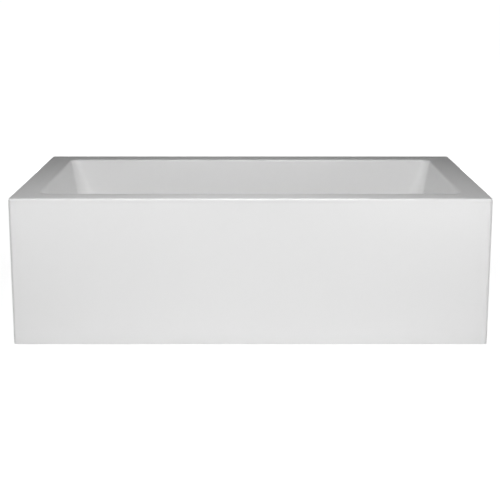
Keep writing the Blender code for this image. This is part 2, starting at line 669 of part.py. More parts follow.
# ---------------------------------------------------------------- assembly
def main():
    clear_scene()
    acrylic = make_material("acrylic", (0.80, 0.80, 0.80), 0.22)
    board = make_material("board", (0.56, 0.42, 0.27), 0.8)
    timber = make_material("timber", (0.70, 0.54, 0.35), 0.75)
    steel = make_material("galvanised_steel", (0.60, 0.61, 0.62), 0.42, 1.0)
    zinc = make_material("zinc", (0.72, 0.71, 0.66), 0.35, 1.0)
    chrome = make_material("chrome", (0.86, 0.87, 0.88), 0.08, 1.0)
    spring_steel = make_material("stainless", (0.62, 0.61, 0.60), 0.28, 1.0)
    rubber = make_material("rubber", (0.03, 0.03, 0.03), 0.75)
    plastic = make_material("black_plastic", (0.035, 0.035, 0.038), 0.5)
    hose = make_material("grey_hose", (0.62, 0.62, 0.60), 0.45)

    waste_hole = lofted("waste_hole", circle_pair(WASTE_HOLE_R, 0.09, 0.13))
    waste_cutter = helper("waste_hole", waste_hole, location=WASTE)
    axis = overflow_axis()
    overflow_hole = lofted("overflow_hole", circle_pair(WASTE_HOLE_R, -0.03, 0.03))
    overflow_cutter = helper("overflow_hole", overflow_hole, parent=axis)
    tub_shell(acrylic, [waste_cutter, overflow_cutter])
    outer_skirt(acrylic)

    rim_boards(timber)
    skirt_battens(timber)
    clearance = lofted("board_hole", circle_pair(0.045, 0.08, 0.12))
    board_cutters = [helper("board_hole", clearance, location=WASTE)]
    pilot = lofted("pilot_hole", circle_pair(SCREW_R + 0.0004, 0.08, BOARD_TOP - 0.003, SMALL_STEPS))
    for x, y in QUARTERS:
        board_cutters.append(helper("pilot_hole", pilot, location=(x * CROSS_RAIL_X, y * SCREW_Y, 0)))
    base_board(board, board_cutters)

    frame_rails(steel)
    skirt_brackets(steel)
    frame_screws(zinc)
    feet(rubber, zinc)

    waste_fitting(chrome, rubber, plastic)
    plug(chrome, rubber, spring_steel)
    overflow_fitting(axis, chrome, rubber, plastic)
    overflow_hose(hose, plastic)


main()
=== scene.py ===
"""Finished look of a freestanding rectangular bathtub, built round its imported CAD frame.

White acrylic shell and skirt, laminate and timber behind them, a galvanised steel frame on screw feet,
and the waste, push plug and overflow, on a plain studio floor.
"""

import math

import bmesh
import bpy
from bpy.props import FloatProperty, FloatVectorProperty, PointerProperty
from mathutils import Matrix, Vector


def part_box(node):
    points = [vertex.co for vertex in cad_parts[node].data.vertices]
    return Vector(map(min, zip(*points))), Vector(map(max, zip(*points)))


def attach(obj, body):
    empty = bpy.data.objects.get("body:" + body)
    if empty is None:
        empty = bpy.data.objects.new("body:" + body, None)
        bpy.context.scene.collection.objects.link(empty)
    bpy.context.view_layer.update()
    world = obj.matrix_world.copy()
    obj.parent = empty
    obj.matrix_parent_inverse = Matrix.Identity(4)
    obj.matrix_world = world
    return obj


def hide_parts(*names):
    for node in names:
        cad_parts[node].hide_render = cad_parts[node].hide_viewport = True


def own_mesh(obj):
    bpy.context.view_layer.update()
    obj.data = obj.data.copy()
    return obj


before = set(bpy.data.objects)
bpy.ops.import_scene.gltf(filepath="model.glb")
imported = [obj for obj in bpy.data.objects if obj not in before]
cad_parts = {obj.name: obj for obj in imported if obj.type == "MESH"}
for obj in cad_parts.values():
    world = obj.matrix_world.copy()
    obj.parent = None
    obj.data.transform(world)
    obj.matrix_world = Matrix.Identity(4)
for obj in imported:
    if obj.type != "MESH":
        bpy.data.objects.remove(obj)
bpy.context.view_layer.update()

bl_info = {
    "name": "Freestanding bathtub",
    "version": (1, 0, 0),
    "blender": (4, 5, 0),
    "location": "3D View > Sidebar > Bathtub",
    "description": "Builds the finished look of a rectangular freestanding bathtub round its CAD frame",
    "category": "Object",
}

SHELL_LOW, SHELL_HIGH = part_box("tub_shell")
SKIRT_LOW, SKIRT_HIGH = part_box("outer_skirt")
LENGTH = SHELL_HIGH.x - SHELL_LOW.x
WIDTH = SHELL_HIGH.y - SHELL_LOW.y
HEIGHT = SHELL_HIGH.z
UNDERSIDE = SHELL_LOW.z
WASTE = sum(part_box("waste_flange"), Vector()) / 2
WASTE.z = 0.0
RAIL_LOW, RAIL_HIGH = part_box("cross_rail_left")
FEET = [sum(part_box(f"foot_pad_{n}"), Vector()) / 2 for n in (1, 2, 3, 4)]

TINY = 1e-9
MERGE = 1e-6
SMOOTH_DEGREES = 35

GAP = 0.0003  # between pieces that touch
THREAD_PITCH = 0.00175  # of the feet
FOOT_Y, SCREW_Y = 0.36, 0.18  # of the holes along each cross rail, from its middle
STRAP_T = 0.003
WELD_INSET = 0.0012
WASTE_HOLE_R = 0.0262
OVERFLOW_HOLE_R = 0.026
SPIGOT_R = 0.0235  # bore of the overflow's threaded insert
HOSE_SPIGOT_R, HOSE_SPIGOT_BORE_R = 0.0098, 0.0082  # of the waste body and the elbow
STEM_BORE_R = 0.0044


# ---------------------------------------------------------------- what a user may change
def length_property(name, description, metres):
    return FloatProperty(name=name, description=description, default=metres, min=0.0, unit="LENGTH")


def slope_property(name, description, degrees):
    return FloatProperty(name=name, description=description, default=math.radians(degrees), subtype="ANGLE")


class BathtubSizes(bpy.types.PropertyGroup):
    """Sizes of the shell and skirt that the frame's boxes don't give."""

    rim: length_property("Rim", "Deck, from the outside face to the basin", 0.094)
    edge: length_property("Edge", "Rounding of the outside edge", 0.0065)
    corner: length_property("Corner", "Upright corners", 0.012)
    basin_edge: length_property("Basin edge", "Deck to wall", 0.008)
    basin_corner: length_property("Basin corner", "Plan corner at the deck", 0.035)
    low_corner: length_property("Low corner", "Plan corner above the floor", 0.105)
    fillet: length_property("Fillet", "Wall to floor", 0.070)
    floor: length_property("Floor", "Height of the basin floor", 0.118)
    end_slope: slope_property("End slope", "End walls, from upright", 12.5)
    side_slope: slope_property("Side slope", "Long walls, from upright", 6.5)
    shell: length_property("Shell", "Thickness of the shell", 0.006)
    skirt: length_property("Skirt", "Thickness of the skirt", 0.005)
    overflow_drop: length_property("Overflow", "Overflow's centre below the deck", 0.085)


def colour_property(name, description, rgb):
    return FloatVectorProperty(
        name=name, description=description, default=rgb, subtype="COLOR", size=3, min=0.0, max=1.0
    )


class BathtubFinishes(bpy.types.PropertyGroup):
    """Colours and gloss of the tub's materials."""

    acrylic: colour_property("Acrylic", "Sheet of the shell and skirt", (0.84, 0.84, 0.84))
    gloss_roughness: FloatProperty(
        name="Gloss roughness", description="Mean roughness of the acrylic", default=0.30, min=0.0, max=1.0
    )
    laminate: colour_property("Laminate", "Glass fibre and resin", (0.62, 0.60, 0.50))
    timber: colour_property("Timber", "Sawn softwood", (0.60, 0.41, 0.22))
    chips: colour_property("Chips", "Particle board", (0.46, 0.31, 0.17))
    galvanised: colour_property("Galvanised", "Hot-dip zinc on the frame", (0.56, 0.58, 0.60))
    plated: colour_property("Plated", "Bright zinc on the fasteners", (0.70, 0.68, 0.60))
    chrome: colour_property("Chrome", "Polished fittings", (0.80, 0.81, 0.82))
    stainless: colour_property("Stainless", "Stem and spring", (0.58, 0.57, 0.55))
    rubber: colour_property("Rubber", "Pads and seals", (0.022, 0.022, 0.023))
    plastic: colour_property("Plastic", "Waste body, elbow and nuts", (0.030, 0.030, 0.033))
    hose: colour_property("Hose", "Corrugated overflow hose", (0.55, 0.55, 0.53))


class BathtubStudio(bpy.types.PropertyGroup):
    """Floor, backdrop and camera."""

    floor: colour_property("Floor", "Pale studio floor", (0.86, 0.86, 0.86))
    backdrop: FloatProperty(
        name="Backdrop", description="What the tub's surfaces mirror", default=0.085, min=0.0, max=2.0
    )
    glow: FloatProperty(
        name="Floor glow",
        description="How far the floor near the tub is lifted to white",
        default=0.82,
        min=0.0,
        max=1.0,
    )
    lens: FloatProperty(name="Lens", description="Focal length in millimetres", default=80.5, min=10, max=200)


def sizes():
    return bpy.context.scene.bathtub_sizes


def finishes():
    return bpy.context.scene.bathtub_finishes


def studio():
    return bpy.context.scene.bathtub_studio


# ---------------------------------------------------------------- meshes
def finished(bm, name, smooth_degrees=SMOOTH_DEGREES):
    """The bmesh as a mesh with its faces pointing out and only its real corners sharp."""
    bmesh.ops.recalc_face_normals(bm, faces=bm.faces)
    mesh = bpy.data.meshes.new(name)
    bm.to_mesh(mesh)
    bm.free()
    mesh.shade_smooth()
    mesh.set_sharp_from_angle(angle=math.radians(smooth_degrees))
    return mesh


def lofted(name, rings, closed=False, slots=None, smooth_degrees=SMOOTH_DEGREES):
    """A solid through rings of equal count; slots gives a material slot for each band of faces."""
    bm = bmesh.new()
    loops = [[bm.verts.new(point) for point in ring] for ring in rings]
    count = len(rings[0])
    following = loops[1:] + loops[:1] if closed else loops[1:]
    for band, (lower, upper) in enumerate(zip(loops, following)):
        for i in range(count):
            j = (i + 1) % count
            face = bm.faces.new((lower[i], lower[j], upper[j], upper[i]))
            face.material_index = slots[band] if slots else 0
    if not closed:
        bm.faces.new(loops[0]).material_index = slots[0] if slots else 0
        bm.faces.new(loops[-1]).material_index = slots[-1] if slots else 0
    return finished(bm, name, smooth_degrees)


def circle(radius, z=0.0, steps=64):
    angles = [2 * math.pi * i / steps for i in range(steps)]
    return [(radius * math.cos(a), radius * math.sin(a), z) for a in angles]


def rounded(outline, radius, steps=3):
    """A closed outline of (x, z) points with its corners eased; corners on the axis stay sharp."""
    points = [Vector(p) for p in outline]
    eased = []
    for i, corner in enumerate(points):
        if abs(corner.x) < TINY:
            eased.append(corner)
            continue
        before, after = points[i - 1] - corner, points[(i + 1) % len(points)] - corner
        reach = min(radius, 0.45 * before.length, 0.45 * after.length)
        start, end = corner + before.normalized() * reach, corner + after.normalized() * reach
        for k in range(steps + 1):
            t = k / steps
            eased.append((1 - t) ** 2 * start + 2 * t * (1 - t) * corner + t * t * end)
    return eased


def turned(name, outline, steps=64, smooth_degrees=SMOOTH_DEGREES):
    """A solid of revolution about Z from a closed outline of (radius, z) points."""
    bm = bmesh.new()
    rings = []
    for radius, z in outline:
        if radius < TINY:
            rings.append([bm.verts.new((0, 0, z))] * steps)
        else:
            rings.append([bm.verts.new(point) for point in circle(radius, z, steps)])
    for lower, upper in zip(rings, rings[1:] + rings[:1]):
        if lower[0] is lower[1] and upper[0] is upper[1]:
            continue
        for i in range(steps):
            j = (i + 1) % steps
            corners = dict.fromkeys((lower[i], lower[j], upper[j], upper[i]))
            bm.faces.new(tuple(corners))
    return finished(bm, name, smooth_degrees)


def even_points(points, spacing):
    """Points at equal steps along a smooth curve (Catmull-Rom) through the given ones."""
    p = [Vector(q) for q in points]
    p = [2 * p[0] - p[1]] + p + [2 * p[-1] - p[-2]]
    fine = []
    for a, b, c, d in zip(p, p[1:], p[2:], p[3:]):
        for k in range(40):
            t = k / 40
            ends = 2 * b + (c - a) * t
            bend = (2 * a - 5 * b + 4 * c - d) * t * t + (3 * b - a - 3 * c + d) * t * t * t
            fine.append((ends + bend) / 2)
    fine.append(p[-2])
    found, travelled, wanted = [fine[0]], 0.0, spacing
    for here, after in zip(fine, fine[1:]):
        step = (after - here).length
        while step > TINY and travelled + step >= wanted:
            found.append(here.lerp(after, (wanted - travelled) / step))
            wanted += spacing
        travelled += step
    return found


def swept(name, path, radius_at, steps=20, closed=False):
    """A tube along path; radius_at is its radius, or gives it at a distance along the path."""
    rings, side, travelled = [], None, 0.0
    for i, at in enumerate(path):
        if closed:
            along = (path[(i + 1) % len(path)] - path[i - 1]).normalized()
        else:
            along = (path[min(i + 1, len(path) - 1)] - path[max(i - 1, 0)]).normalized()
        if side is None:
            side = along.orthogonal().normalized()
        side = (side - along * side.dot(along)).normalized()
        other = along.cross(side)
        radius = radius_at(travelled) if callable(radius_at) else radius_at
        turns = [2 * math.pi * k / steps for k in range(steps)]
        rings.append([at + radius * (math.cos(a) * side + math.sin(a) * other) for a in turns])
        if i + 1 < len(path):
            travelled += (path[i + 1] - at).length
    return lofted(name, rings, closed)


def hexagon_radius(across_flats, angle):
    off_flat = (angle + math.pi / 6) % (math.pi / 3) - math.pi / 6
    return across_flats / 2 / math.cos(off_flat)


def add(name, mesh, *materials, location=(0, 0, 0), rotation=(0, 0, 0)):
    obj = bpy.data.objects.new(name, mesh)
    for material in materials:
        if material.name not in mesh.materials:
            mesh.materials.append(material)
    obj.location = location
    obj.rotation_euler = rotation
    bpy.context.scene.collection.objects.link(obj)
    return obj


def combined(obj, others, operation):
    """Applies the other closed solids to obj by a boolean operation, and removes them."""
    for other in others:
        modifier = obj.modifiers.new("Combine", "BOOLEAN")
        modifier.operation = operation
        modifier.solver = "EXACT"
        modifier.object = other
    apply_modifiers(obj)
    tidied(obj.data)
    for other in others:
        bpy.data.objects.remove(other, do_unlink=True)


def cut(obj, cutters):
    combined(obj, cutters, "DIFFERENCE")


def unite(obj, parts):
    combined(obj, parts, "UNION")


def rod(radius, low, high, steps=48, **placed):
    """A round solid from low to high along its own Z, for cutting a hole."""
    return add("rod", lofted("rod", [circle(radius, low, steps), circle(radius, high, steps)]), **placed)


def apply_modifiers(obj):
    graph = bpy.context.evaluated_depsgraph_get()
    mesh = bpy.data.meshes.new_from_object(obj.evaluated_get(graph))
    obj.modifiers.clear()
    obj.data = mesh


def tidied(mesh):
    """Merges the points and drops the slivers that a cut leaves on top of each other."""
    bm = bmesh.new()
    bm.from_mesh(mesh)
    bmesh.ops.remove_doubles(bm, verts=bm.verts, dist=MERGE)
    bmesh.ops.dissolve_degenerate(bm, edges=bm.edges, dist=MERGE)
    bm.to_mesh(mesh)
    bm.free()
    mesh.set_sharp_from_angle(angle=math.radians(SMOOTH_DEGREES))


def softened(obj, width, segments=2):
    modifier = obj.modifiers.new("Soft edges", "BEVEL")
    modifier.width = width
    modifier.segments = segments
    modifier.limit_method = "ANGLE"
    modifier.harden_normals = True
    apply_modifiers(obj)
    return obj


def fitted(piece, body, slot, *nodes):
    """Hangs a piece on its body and lets it stand for its CAD nodes; its slot is not used."""
    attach(piece, body)
    if nodes:
        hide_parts(*nodes)
    return piece


def refinish(node, material):
    """Gives a CAD node that stays in view its finished material."""
    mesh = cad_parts[node].data
    mesh.materials.clear()
    mesh.materials.append(material)


# ---------------------------------------------------------------- shader effects
def new_group(name, inputs, outputs):
    """An empty shader node group with sockets from {name: (kind, default)}, or None if it exists."""
    if name in bpy.data.node_groups:
        return None
    tree = bpy.data.node_groups.new(name, "ShaderNodeTree")
    for socket, (kind, default) in inputs.items():
        made = tree.interface.new_socket(socket, in_out="INPUT", socket_type=f"NodeSocket{kind}")
        made.default_value = default
    for socket, kind in outputs.items():
        tree.interface.new_socket(socket, in_out="OUTPUT", socket_type=f"NodeSocket{kind}")
    tree.nodes.new("NodeGroupInput").name = "In"
    tree.nodes.new("NodeGroupOutput").name = "Out"
    return tree


def place(tree, kind, **values):
    """A node in the tree; values set its properties, or its inputs by name."""
    node = tree.nodes.new(f"ShaderNode{kind}")
    for key, value in values.items():
        if hasattr(node, key):
            setattr(node, key, value)
        else:
            node.inputs[key.replace("_", " ")].default_value = value
    return node


def mixed_colour(tree, factor, first, second):
    """Mix node of two colours, each a socket or a plain colour."""
    mix = place(tree, "Mix", data_type="RGBA")
    for socket, value in ((mix.inputs[0], factor), (mix.inputs[6], first), (mix.inputs[7], second)):
        if isinstance(value, bpy.types.NodeSocket):
            tree.links.new(value, socket)
        else:
            socket.default_value = value
    return mix.outputs[2]


def tone_drift():
    """Two tones in slow patches."""
    inputs = {
        "Tone": ("Color", (0.5, 0.5, 0.5, 1)),
        "Second Tone": ("Color", (0.4, 0.4, 0.4, 1)),
        "Scale": ("Float", 5.0),
        "Detail": ("Float", 4.0),
    }
    tree = new_group("Tone drift", inputs, {"Colour": "Color"})
    if tree:
        came, out = tree.nodes["In"], tree.nodes["Out"]
        at = place(tree, "TexCoord")
        noise = place(tree, "TexNoise", Roughness=0.6)
        spread = place(tree, "MapRange", interpolation_type="SMOOTHSTEP", From_Min=0.25, From_Max=0.75)
        tree.links.new(at.outputs["Object"], noise.inputs["Vector"])
        tree.links.new(came.outputs["Scale"], noise.inputs["Scale"])
        tree.links.new(came.outputs["Detail"], noise.inputs["Detail"])
        tree.links.new(noise.outputs["Fac"], spread.inputs["Value"])
        colour = mixed_colour(tree, spread.outputs[0], came.outputs["Tone"], came.outputs["Second Tone"])
        tree.links.new(colour, out.inputs["Colour"])
    return bpy.data.node_groups["Tone drift"]


def gloss_drift():
    """Roughness that wanders between two values."""
    inputs = {
        "Low": ("Float", 0.2),
        "High": ("Float", 0.3),
        "Scale": ("Float", 8.0),
        "Detail": ("Float", 5.0),
    }
    tree = new_group("Gloss drift", inputs, {"Roughness": "Float"})
    if tree:
        came, out = tree.nodes["In"], tree.nodes["Out"]
        at = place(tree, "TexCoord")
        noise = place(tree, "TexNoise", Roughness=0.65)
        spread = place(tree, "MapRange", interpolation_type="SMOOTHSTEP", From_Min=0.2, From_Max=0.8)
        tree.links.new(at.outputs["Object"], noise.inputs["Vector"])
        tree.links.new(came.outputs["Scale"], noise.inputs["Scale"])
        tree.links.new(came.outputs["Detail"], noise.inputs["Detail"])
        tree.links.new(noise.outputs["Fac"], spread.inputs["Value"])
        tree.links.new(came.outputs["Low"], spread.inputs["To Min"])
        tree.links.new(came.outputs["High"], spread.inputs["To Max"])
        tree.links.new(spread.outputs[0], out.inputs["Roughness"])
    return bpy.data.node_groups["Gloss drift"]


def surface_grain():
    """Height of a fine grain over a slow waviness."""
    inputs = {
        "Grain Scale": ("Float", 400.0),
        "Grain": ("Float", 0.5),
        "Wave Scale": ("Float", 6.0),
        "Wave": ("Float", 0.5),
    }
    tree = new_group("Surface grain", inputs, {"Height": "Float"})
    if tree:
        came, out = tree.nodes["In"], tree.nodes["Out"]
        at = place(tree, "TexCoord")
        total = place(tree, "Math", operation="ADD")
        for slot, name in enumerate(("Grain", "Wave")):
            noise = place(tree, "TexNoise", Detail=2.0)
            amount = place(tree, "Math", operation="MULTIPLY")
            tree.links.new(at.outputs["Object"], noise.inputs["Vector"])
            tree.links.new(came.outputs[f"{name} Scale"], noise.inputs["Scale"])
            tree.links.new(noise.outputs["Fac"], amount.inputs[0])
            tree.links.new(came.outputs[name], amount.inputs[1])
            tree.links.new(amount.outputs[0], total.inputs[slot])
        tree.links.new(total.outputs[0], out.inputs["Height"])
    return bpy.data.node_groups["Surface grain"]


def long_grain():
    """Streaks along one direction, for sawn timber and drawn wire: Stretch squeezes the other two."""
    inputs = {
        "Tone": ("Color", (0.6, 0.4, 0.2, 1)),
        "Streak": ("Color", (0.4, 0.25, 0.12, 1)),
        "Stretch": ("Vector", (1, 20, 20)),
        "Scale": ("Float", 4.0),
    }
    tree = new_group("Long grain", inputs, {"Colour": "Color", "Height": "Float"})
    if tree:
        came, out = tree.nodes["In"], tree.nodes["Out"]
        at = place(tree, "TexCoord")
        squeezed = place(tree, "VectorMath", operation="MULTIPLY")
        noise = place(tree, "TexNoise", Detail=6.0, Roughness=0.7, Distortion=0.6)
        spread = place(tree, "MapRange", From_Min=0.42, From_Max=0.68)
        tree.links.new(at.outputs["Object"], squeezed.inputs[0])
        tree.links.new(came.outputs["Stretch"], squeezed.inputs[1])
        tree.links.new(squeezed.outputs[0], noise.inputs["Vector"])
        tree.links.new(came.outputs["Scale"], noise.inputs["Scale"])
        tree.links.new(noise.outputs["Fac"], spread.inputs["Value"])
        colour = mixed_colour(tree, spread.outputs[0], came.outputs["Tone"], came.outputs["Streak"])
        tree.links.new(colour, out.inputs["Colour"])
        tree.links.new(noise.outputs["Fac"], out.inputs["Height"])
    return bpy.data.node_groups["Long grain"]


def settled_dust():
    """A colour with pale dust on the faces that look up."""
    inputs = {
        "Colour": ("Color", (0.5, 0.5, 0.5, 1)),
        "Dust": ("Color", (0.45, 0.43, 0.40, 1)),
        "Amount": ("Float", 0.3),
        "Scale": ("Float", 60.0),
    }
    tree = new_group("Settled dust", inputs, {"Colour": "Color"})
    if tree:
        came, out = tree.nodes["In"], tree.nodes["Out"]
        at, facing = place(tree, "TexCoord"), place(tree, "NewGeometry")
        split = place(tree, "SeparateXYZ")
        upward = place(tree, "MapRange", From_Min=0.2, From_Max=1.0)
        noise = place(tree, "TexNoise", Detail=4.0)
        patchy, amount = place(tree, "Math", operation="MULTIPLY"), place(tree, "Math", operation="MULTIPLY")
        tree.links.new(facing.outputs["Normal"], split.inputs[0])
        tree.links.new(split.outputs["Z"], upward.inputs["Value"])
        tree.links.new(at.outputs["Object"], noise.inputs["Vector"])
        tree.links.new(came.outputs["Scale"], noise.inputs["Scale"])
        tree.links.new(upward.outputs[0], patchy.inputs[0])
        tree.links.new(noise.outputs["Fac"], patchy.inputs[1])
        tree.links.new(patchy.outputs[0], amount.inputs[0])
        tree.links.new(came.outputs["Amount"], amount.inputs[1])
        colour = mixed_colour(tree, amount.outputs[0], came.outputs["Colour"], came.outputs["Dust"])
        tree.links.new(colour, out.inputs["Colour"])
    return bpy.data.node_groups["Settled dust"]


# ---------------------------------------------------------------- materials
def paint(rgb, share=1.0):
    """A colour socket's value, darkened or lightened by share."""
    return (*[min(1.0, c * share) for c in rgb], 1.0)


class Finish:
    """A material being built: its node tree and its Principled shader."""

    def __init__(self, name, rgb, roughness, metallic=0.0):
        self.material = bpy.data.materials.new(name)
        self.material.use_nodes = True
        self.tree = self.material.node_tree
        self.shader = self.tree.nodes["Principled BSDF"]
        self.shader.inputs["Base Color"].default_value = paint(rgb)
        self.shader.inputs["Roughness"].default_value = roughness
        self.shader.inputs["Metallic"].default_value = metallic
        self.material.diffuse_color = paint(rgb)

    def effect(self, group, **values):
        """The group in this material, its inputs set by name or linked from a socket."""
        node = self.tree.nodes.new("ShaderNodeGroup")
        node.node_tree = group
        for key, value in values.items():
            socket = node.inputs[key.replace("_", " ")]
            if isinstance(value, bpy.types.NodeSocket):
                self.tree.links.new(value, socket)
            else:
                socket.default_value = value
        return node

    def colour(self, socket):
        self.tree.links.new(socket, self.shader.inputs["Base Color"])

    def roughness(self, low, high, scale, detail=5.0):
        node = self.effect(gloss_drift(), Low=low, High=high, Scale=scale, Detail=detail)
        self.tree.links.new(node.outputs["Roughness"], self.shader.inputs["Roughness"])

    def bump(self, height, strength, distance):
        node = place(self.tree, "Bump", Strength=strength, Distance=distance)
        self.tree.links.new(height, node.inputs["Height"])
        self.tree.links.new(node.outputs["Normal"], self.shader.inputs["Normal"])


def once(build):
    """Makes a material the first time it is asked for, and finds it again after that."""
    made = {}

    def finish(*args):
        if args not in made:
            made[args] = build(*args)
        return made[args]

    return finish


@once
def white_acrylic():
    """Thermoformed sheet: faint waviness, very fine texture and a slight drift of gloss."""
    rgb, rough = finishes().acrylic, finishes().gloss_roughness
    finish = Finish("white_acrylic", rgb, rough)
    finish.shader.inputs["IOR"].default_value = 1.49
    tone = finish.effect(tone_drift(), Tone=paint(rgb), Second_Tone=paint(rgb, 0.988), Scale=1.6, Detail=0.5)
    finish.colour(tone.outputs["Colour"])
    finish.roughness(rough - 0.02, rough + 0.02, 3.0, 0.0)
    grain = finish.effect(surface_grain(), Grain_Scale=900.0, Grain=0.02, Wave_Scale=5.0, Wave=1.0)
    finish.bump(grain.outputs["Height"], 0.10, 0.002)
    return finish.material


@once
def fibre_laminate():
    """Chopped glass strands rolled out in resin: short pale streaks crossing every way."""
    rgb = finishes().laminate
    finish = Finish("fibre_laminate", rgb, 0.45)
    layers = []
    for stretch in ((1, 16, 5), (14, 1, 6), (9, 8, 1)):
        strands = finish.effect(
            long_grain(), Tone=paint(rgb, 0.80), Streak=paint(rgb, 1.25), Stretch=stretch, Scale=14.0
        )
        layers.append(strands)
    mixed = layers[0].outputs["Colour"]
    for strands in layers[1:]:
        mixed = mixed_colour(finish.tree, 0.5, mixed, strands.outputs["Colour"])
    finish.colour(mixed)
    finish.roughness(0.30, 0.62, 40.0)
    total = place(finish.tree, "Math", operation="ADD")
    finish.tree.links.new(layers[0].outputs["Height"], total.inputs[0])
    finish.tree.links.new(layers[1].outputs["Height"], total.inputs[1])
    finish.bump(total.outputs[0], 0.7, 0.0015)
    return finish.material


@once
def sawn_timber(direction):
    """Softwood with its grain along X or Y, darker late wood and a sealed, dusty face."""
    rgb = finishes().timber
    finish = Finish(f"sawn_timber_{direction}", rgb, 0.7)
    stretch = (1, 22, 22) if direction == "x" else (22, 1, 22)
    grain = finish.effect(long_grain(), Tone=paint(rgb), Streak=paint(rgb, 0.62), Stretch=stretch, Scale=5.0)
    dusty = finish.effect(settled_dust(), Colour=grain.outputs["Colour"], Amount=0.35)
    finish.colour(dusty.outputs["Colour"])
    finish.roughness(0.55, 0.82, 30.0)
    finish.bump(grain.outputs["Height"], 0.6, 0.0008)
    return finish.material


@once
def particle_board():
    """Pressed chips of mixed tones under resin."""
    rgb = finishes().chips
    finish = Finish("particle_board", rgb, 0.65)
    at = place(finish.tree, "TexCoord")
    chips = place(finish.tree, "TexVoronoi", Scale=180.0, Randomness=1.0)
    split = place(finish.tree, "SeparateColor")
    finish.tree.links.new(at.outputs["Object"], chips.inputs["Vector"])
    finish.tree.links.new(chips.outputs["Color"], split.inputs[0])
    colour = mixed_colour(finish.tree, split.outputs[0], paint(rgb, 0.62), paint(rgb, 1.45))
    drift = finish.effect(tone_drift(), Tone=colour, Second_Tone=paint(rgb), Scale=12.0)
    finish.colour(drift.outputs["Colour"])
    finish.roughness(0.45, 0.75, 25.0)
    finish.bump(chips.outputs["Distance"], 0.35, 0.0006)
    return finish.material


@once
def galvanised_steel():
    """Hot-dip zinc: a spangle of flat crystals, dulled, with dust on top."""
    rgb = finishes().galvanised
    finish = Finish("galvanised_steel", rgb, 0.4, 1.0)
    at = place(finish.tree, "TexCoord")
    spangle = place(finish.tree, "TexVoronoi", Scale=95.0, Randomness=1.0)
    split = place(finish.tree, "SeparateColor")
    crystal = place(finish.tree, "MapRange", To_Min=0.28, To_Max=0.52)
    finish.tree.links.new(at.outputs["Object"], spangle.inputs["Vector"])
    finish.tree.links.new(spangle.outputs["Color"], split.inputs[0])
    finish.tree.links.new(split.outputs[1], crystal.inputs["Value"])
    finish.tree.links.new(crystal.outputs[0], finish.shader.inputs["Roughness"])
    colour = mixed_colour(finish.tree, split.outputs[0], paint(rgb, 0.82), paint(rgb, 1.15))
    dusty = finish.effect(settled_dust(), Colour=colour, Amount=0.4)
    finish.colour(dusty.outputs["Colour"])
    grain = finish.effect(surface_grain(), Grain_Scale=700.0, Grain=0.3, Wave_Scale=60.0, Wave=0.6)
    finish.bump(grain.outputs["Height"], 0.25, 0.0005)
    return finish.material


@once
def weld_metal():
    """Bare bead with heat tints, painted over with zinc spray."""
    rgb = finishes().galvanised
    finish = Finish("weld_metal", rgb, 0.5, 1.0)
    tone = finish.effect(tone_drift(), Tone=paint(rgb, 0.9), Second_Tone=(0.30, 0.26, 0.24, 1), Scale=70.0)
    finish.colour(tone.outputs["Colour"])
    finish.roughness(0.35, 0.65, 150.0)
    grain = finish.effect(surface_grain(), Grain_Scale=1200.0, Grain=0.7, Wave_Scale=300.0, Wave=0.5)
    finish.bump(grain.outputs["Height"], 0.4, 0.0004)
    return finish.material


@once
def zinc_plate():
    """Bright plated fasteners with a yellowish bloom and fine handling marks."""
    rgb = finishes().plated
    finish = Finish("zinc_plate", rgb, 0.3, 1.0)
    tone = finish.effect(tone_drift(), Tone=paint(rgb), Second_Tone=(0.62, 0.56, 0.40, 1), Scale=55.0)
    finish.colour(tone.outputs["Colour"])
    finish.roughness(0.20, 0.42, 120.0)
    grain = finish.effect(surface_grain(), Grain_Scale=2500.0, Grain=0.5, Wave_Scale=200.0, Wave=0.4)
    finish.bump(grain.outputs["Height"], 0.15, 0.0002)
    return finish.material


@once
def polished_chrome():
    """Mirror chrome with the faintest orange peel and wiped smears in the gloss."""
    rgb = finishes().chrome
    finish = Finish("polished_chrome", rgb, 0.06, 1.0)
    tone = finish.effect(tone_drift(), Tone=paint(rgb), Second_Tone=paint(rgb, 0.95), Scale=30.0)
    finish.colour(tone.outputs["Colour"])
    finish.roughness(0.04, 0.13, 45.0)
    grain = finish.effect(surface_grain(), Grain_Scale=1500.0, Grain=0.05, Wave_Scale=120.0, Wave=0.5)
    finish.bump(grain.outputs["Height"], 0.05, 0.0002)
    return finish.material


@once
def drawn_stainless():
    """Wire and rod with fine draw lines along them."""
    rgb = finishes().stainless
    finish = Finish("drawn_stainless", rgb, 0.28, 1.0)
    lines = finish.effect(
        long_grain(), Tone=paint(rgb), Streak=paint(rgb, 0.80), Stretch=(60, 60, 2), Scale=30.0
    )
    finish.colour(lines.outputs["Colour"])
    finish.roughness(0.20, 0.36, 200.0)
    finish.bump(lines.outputs["Height"], 0.2, 0.0002)
    return finish.material


@once
def moulded_rubber():
    """Matt black rubber with a greyish bloom and moulded grain."""
    rgb = finishes().rubber
    finish = Finish("moulded_rubber", rgb, 0.75)
    tone = finish.effect(tone_drift(), Tone=paint(rgb), Second_Tone=paint(rgb, 2.1), Scale=35.0)
    dusty = finish.effect(settled_dust(), Colour=tone.outputs["Colour"], Amount=0.30)
    finish.colour(dusty.outputs["Colour"])
    finish.roughness(0.62, 0.88, 60.0)
    grain = finish.effect(surface_grain(), Grain_Scale=1600.0, Grain=0.8, Wave_Scale=250.0, Wave=0.3)
    finish.bump(grain.outputs["Height"], 0.35, 0.0003)
    return finish.material


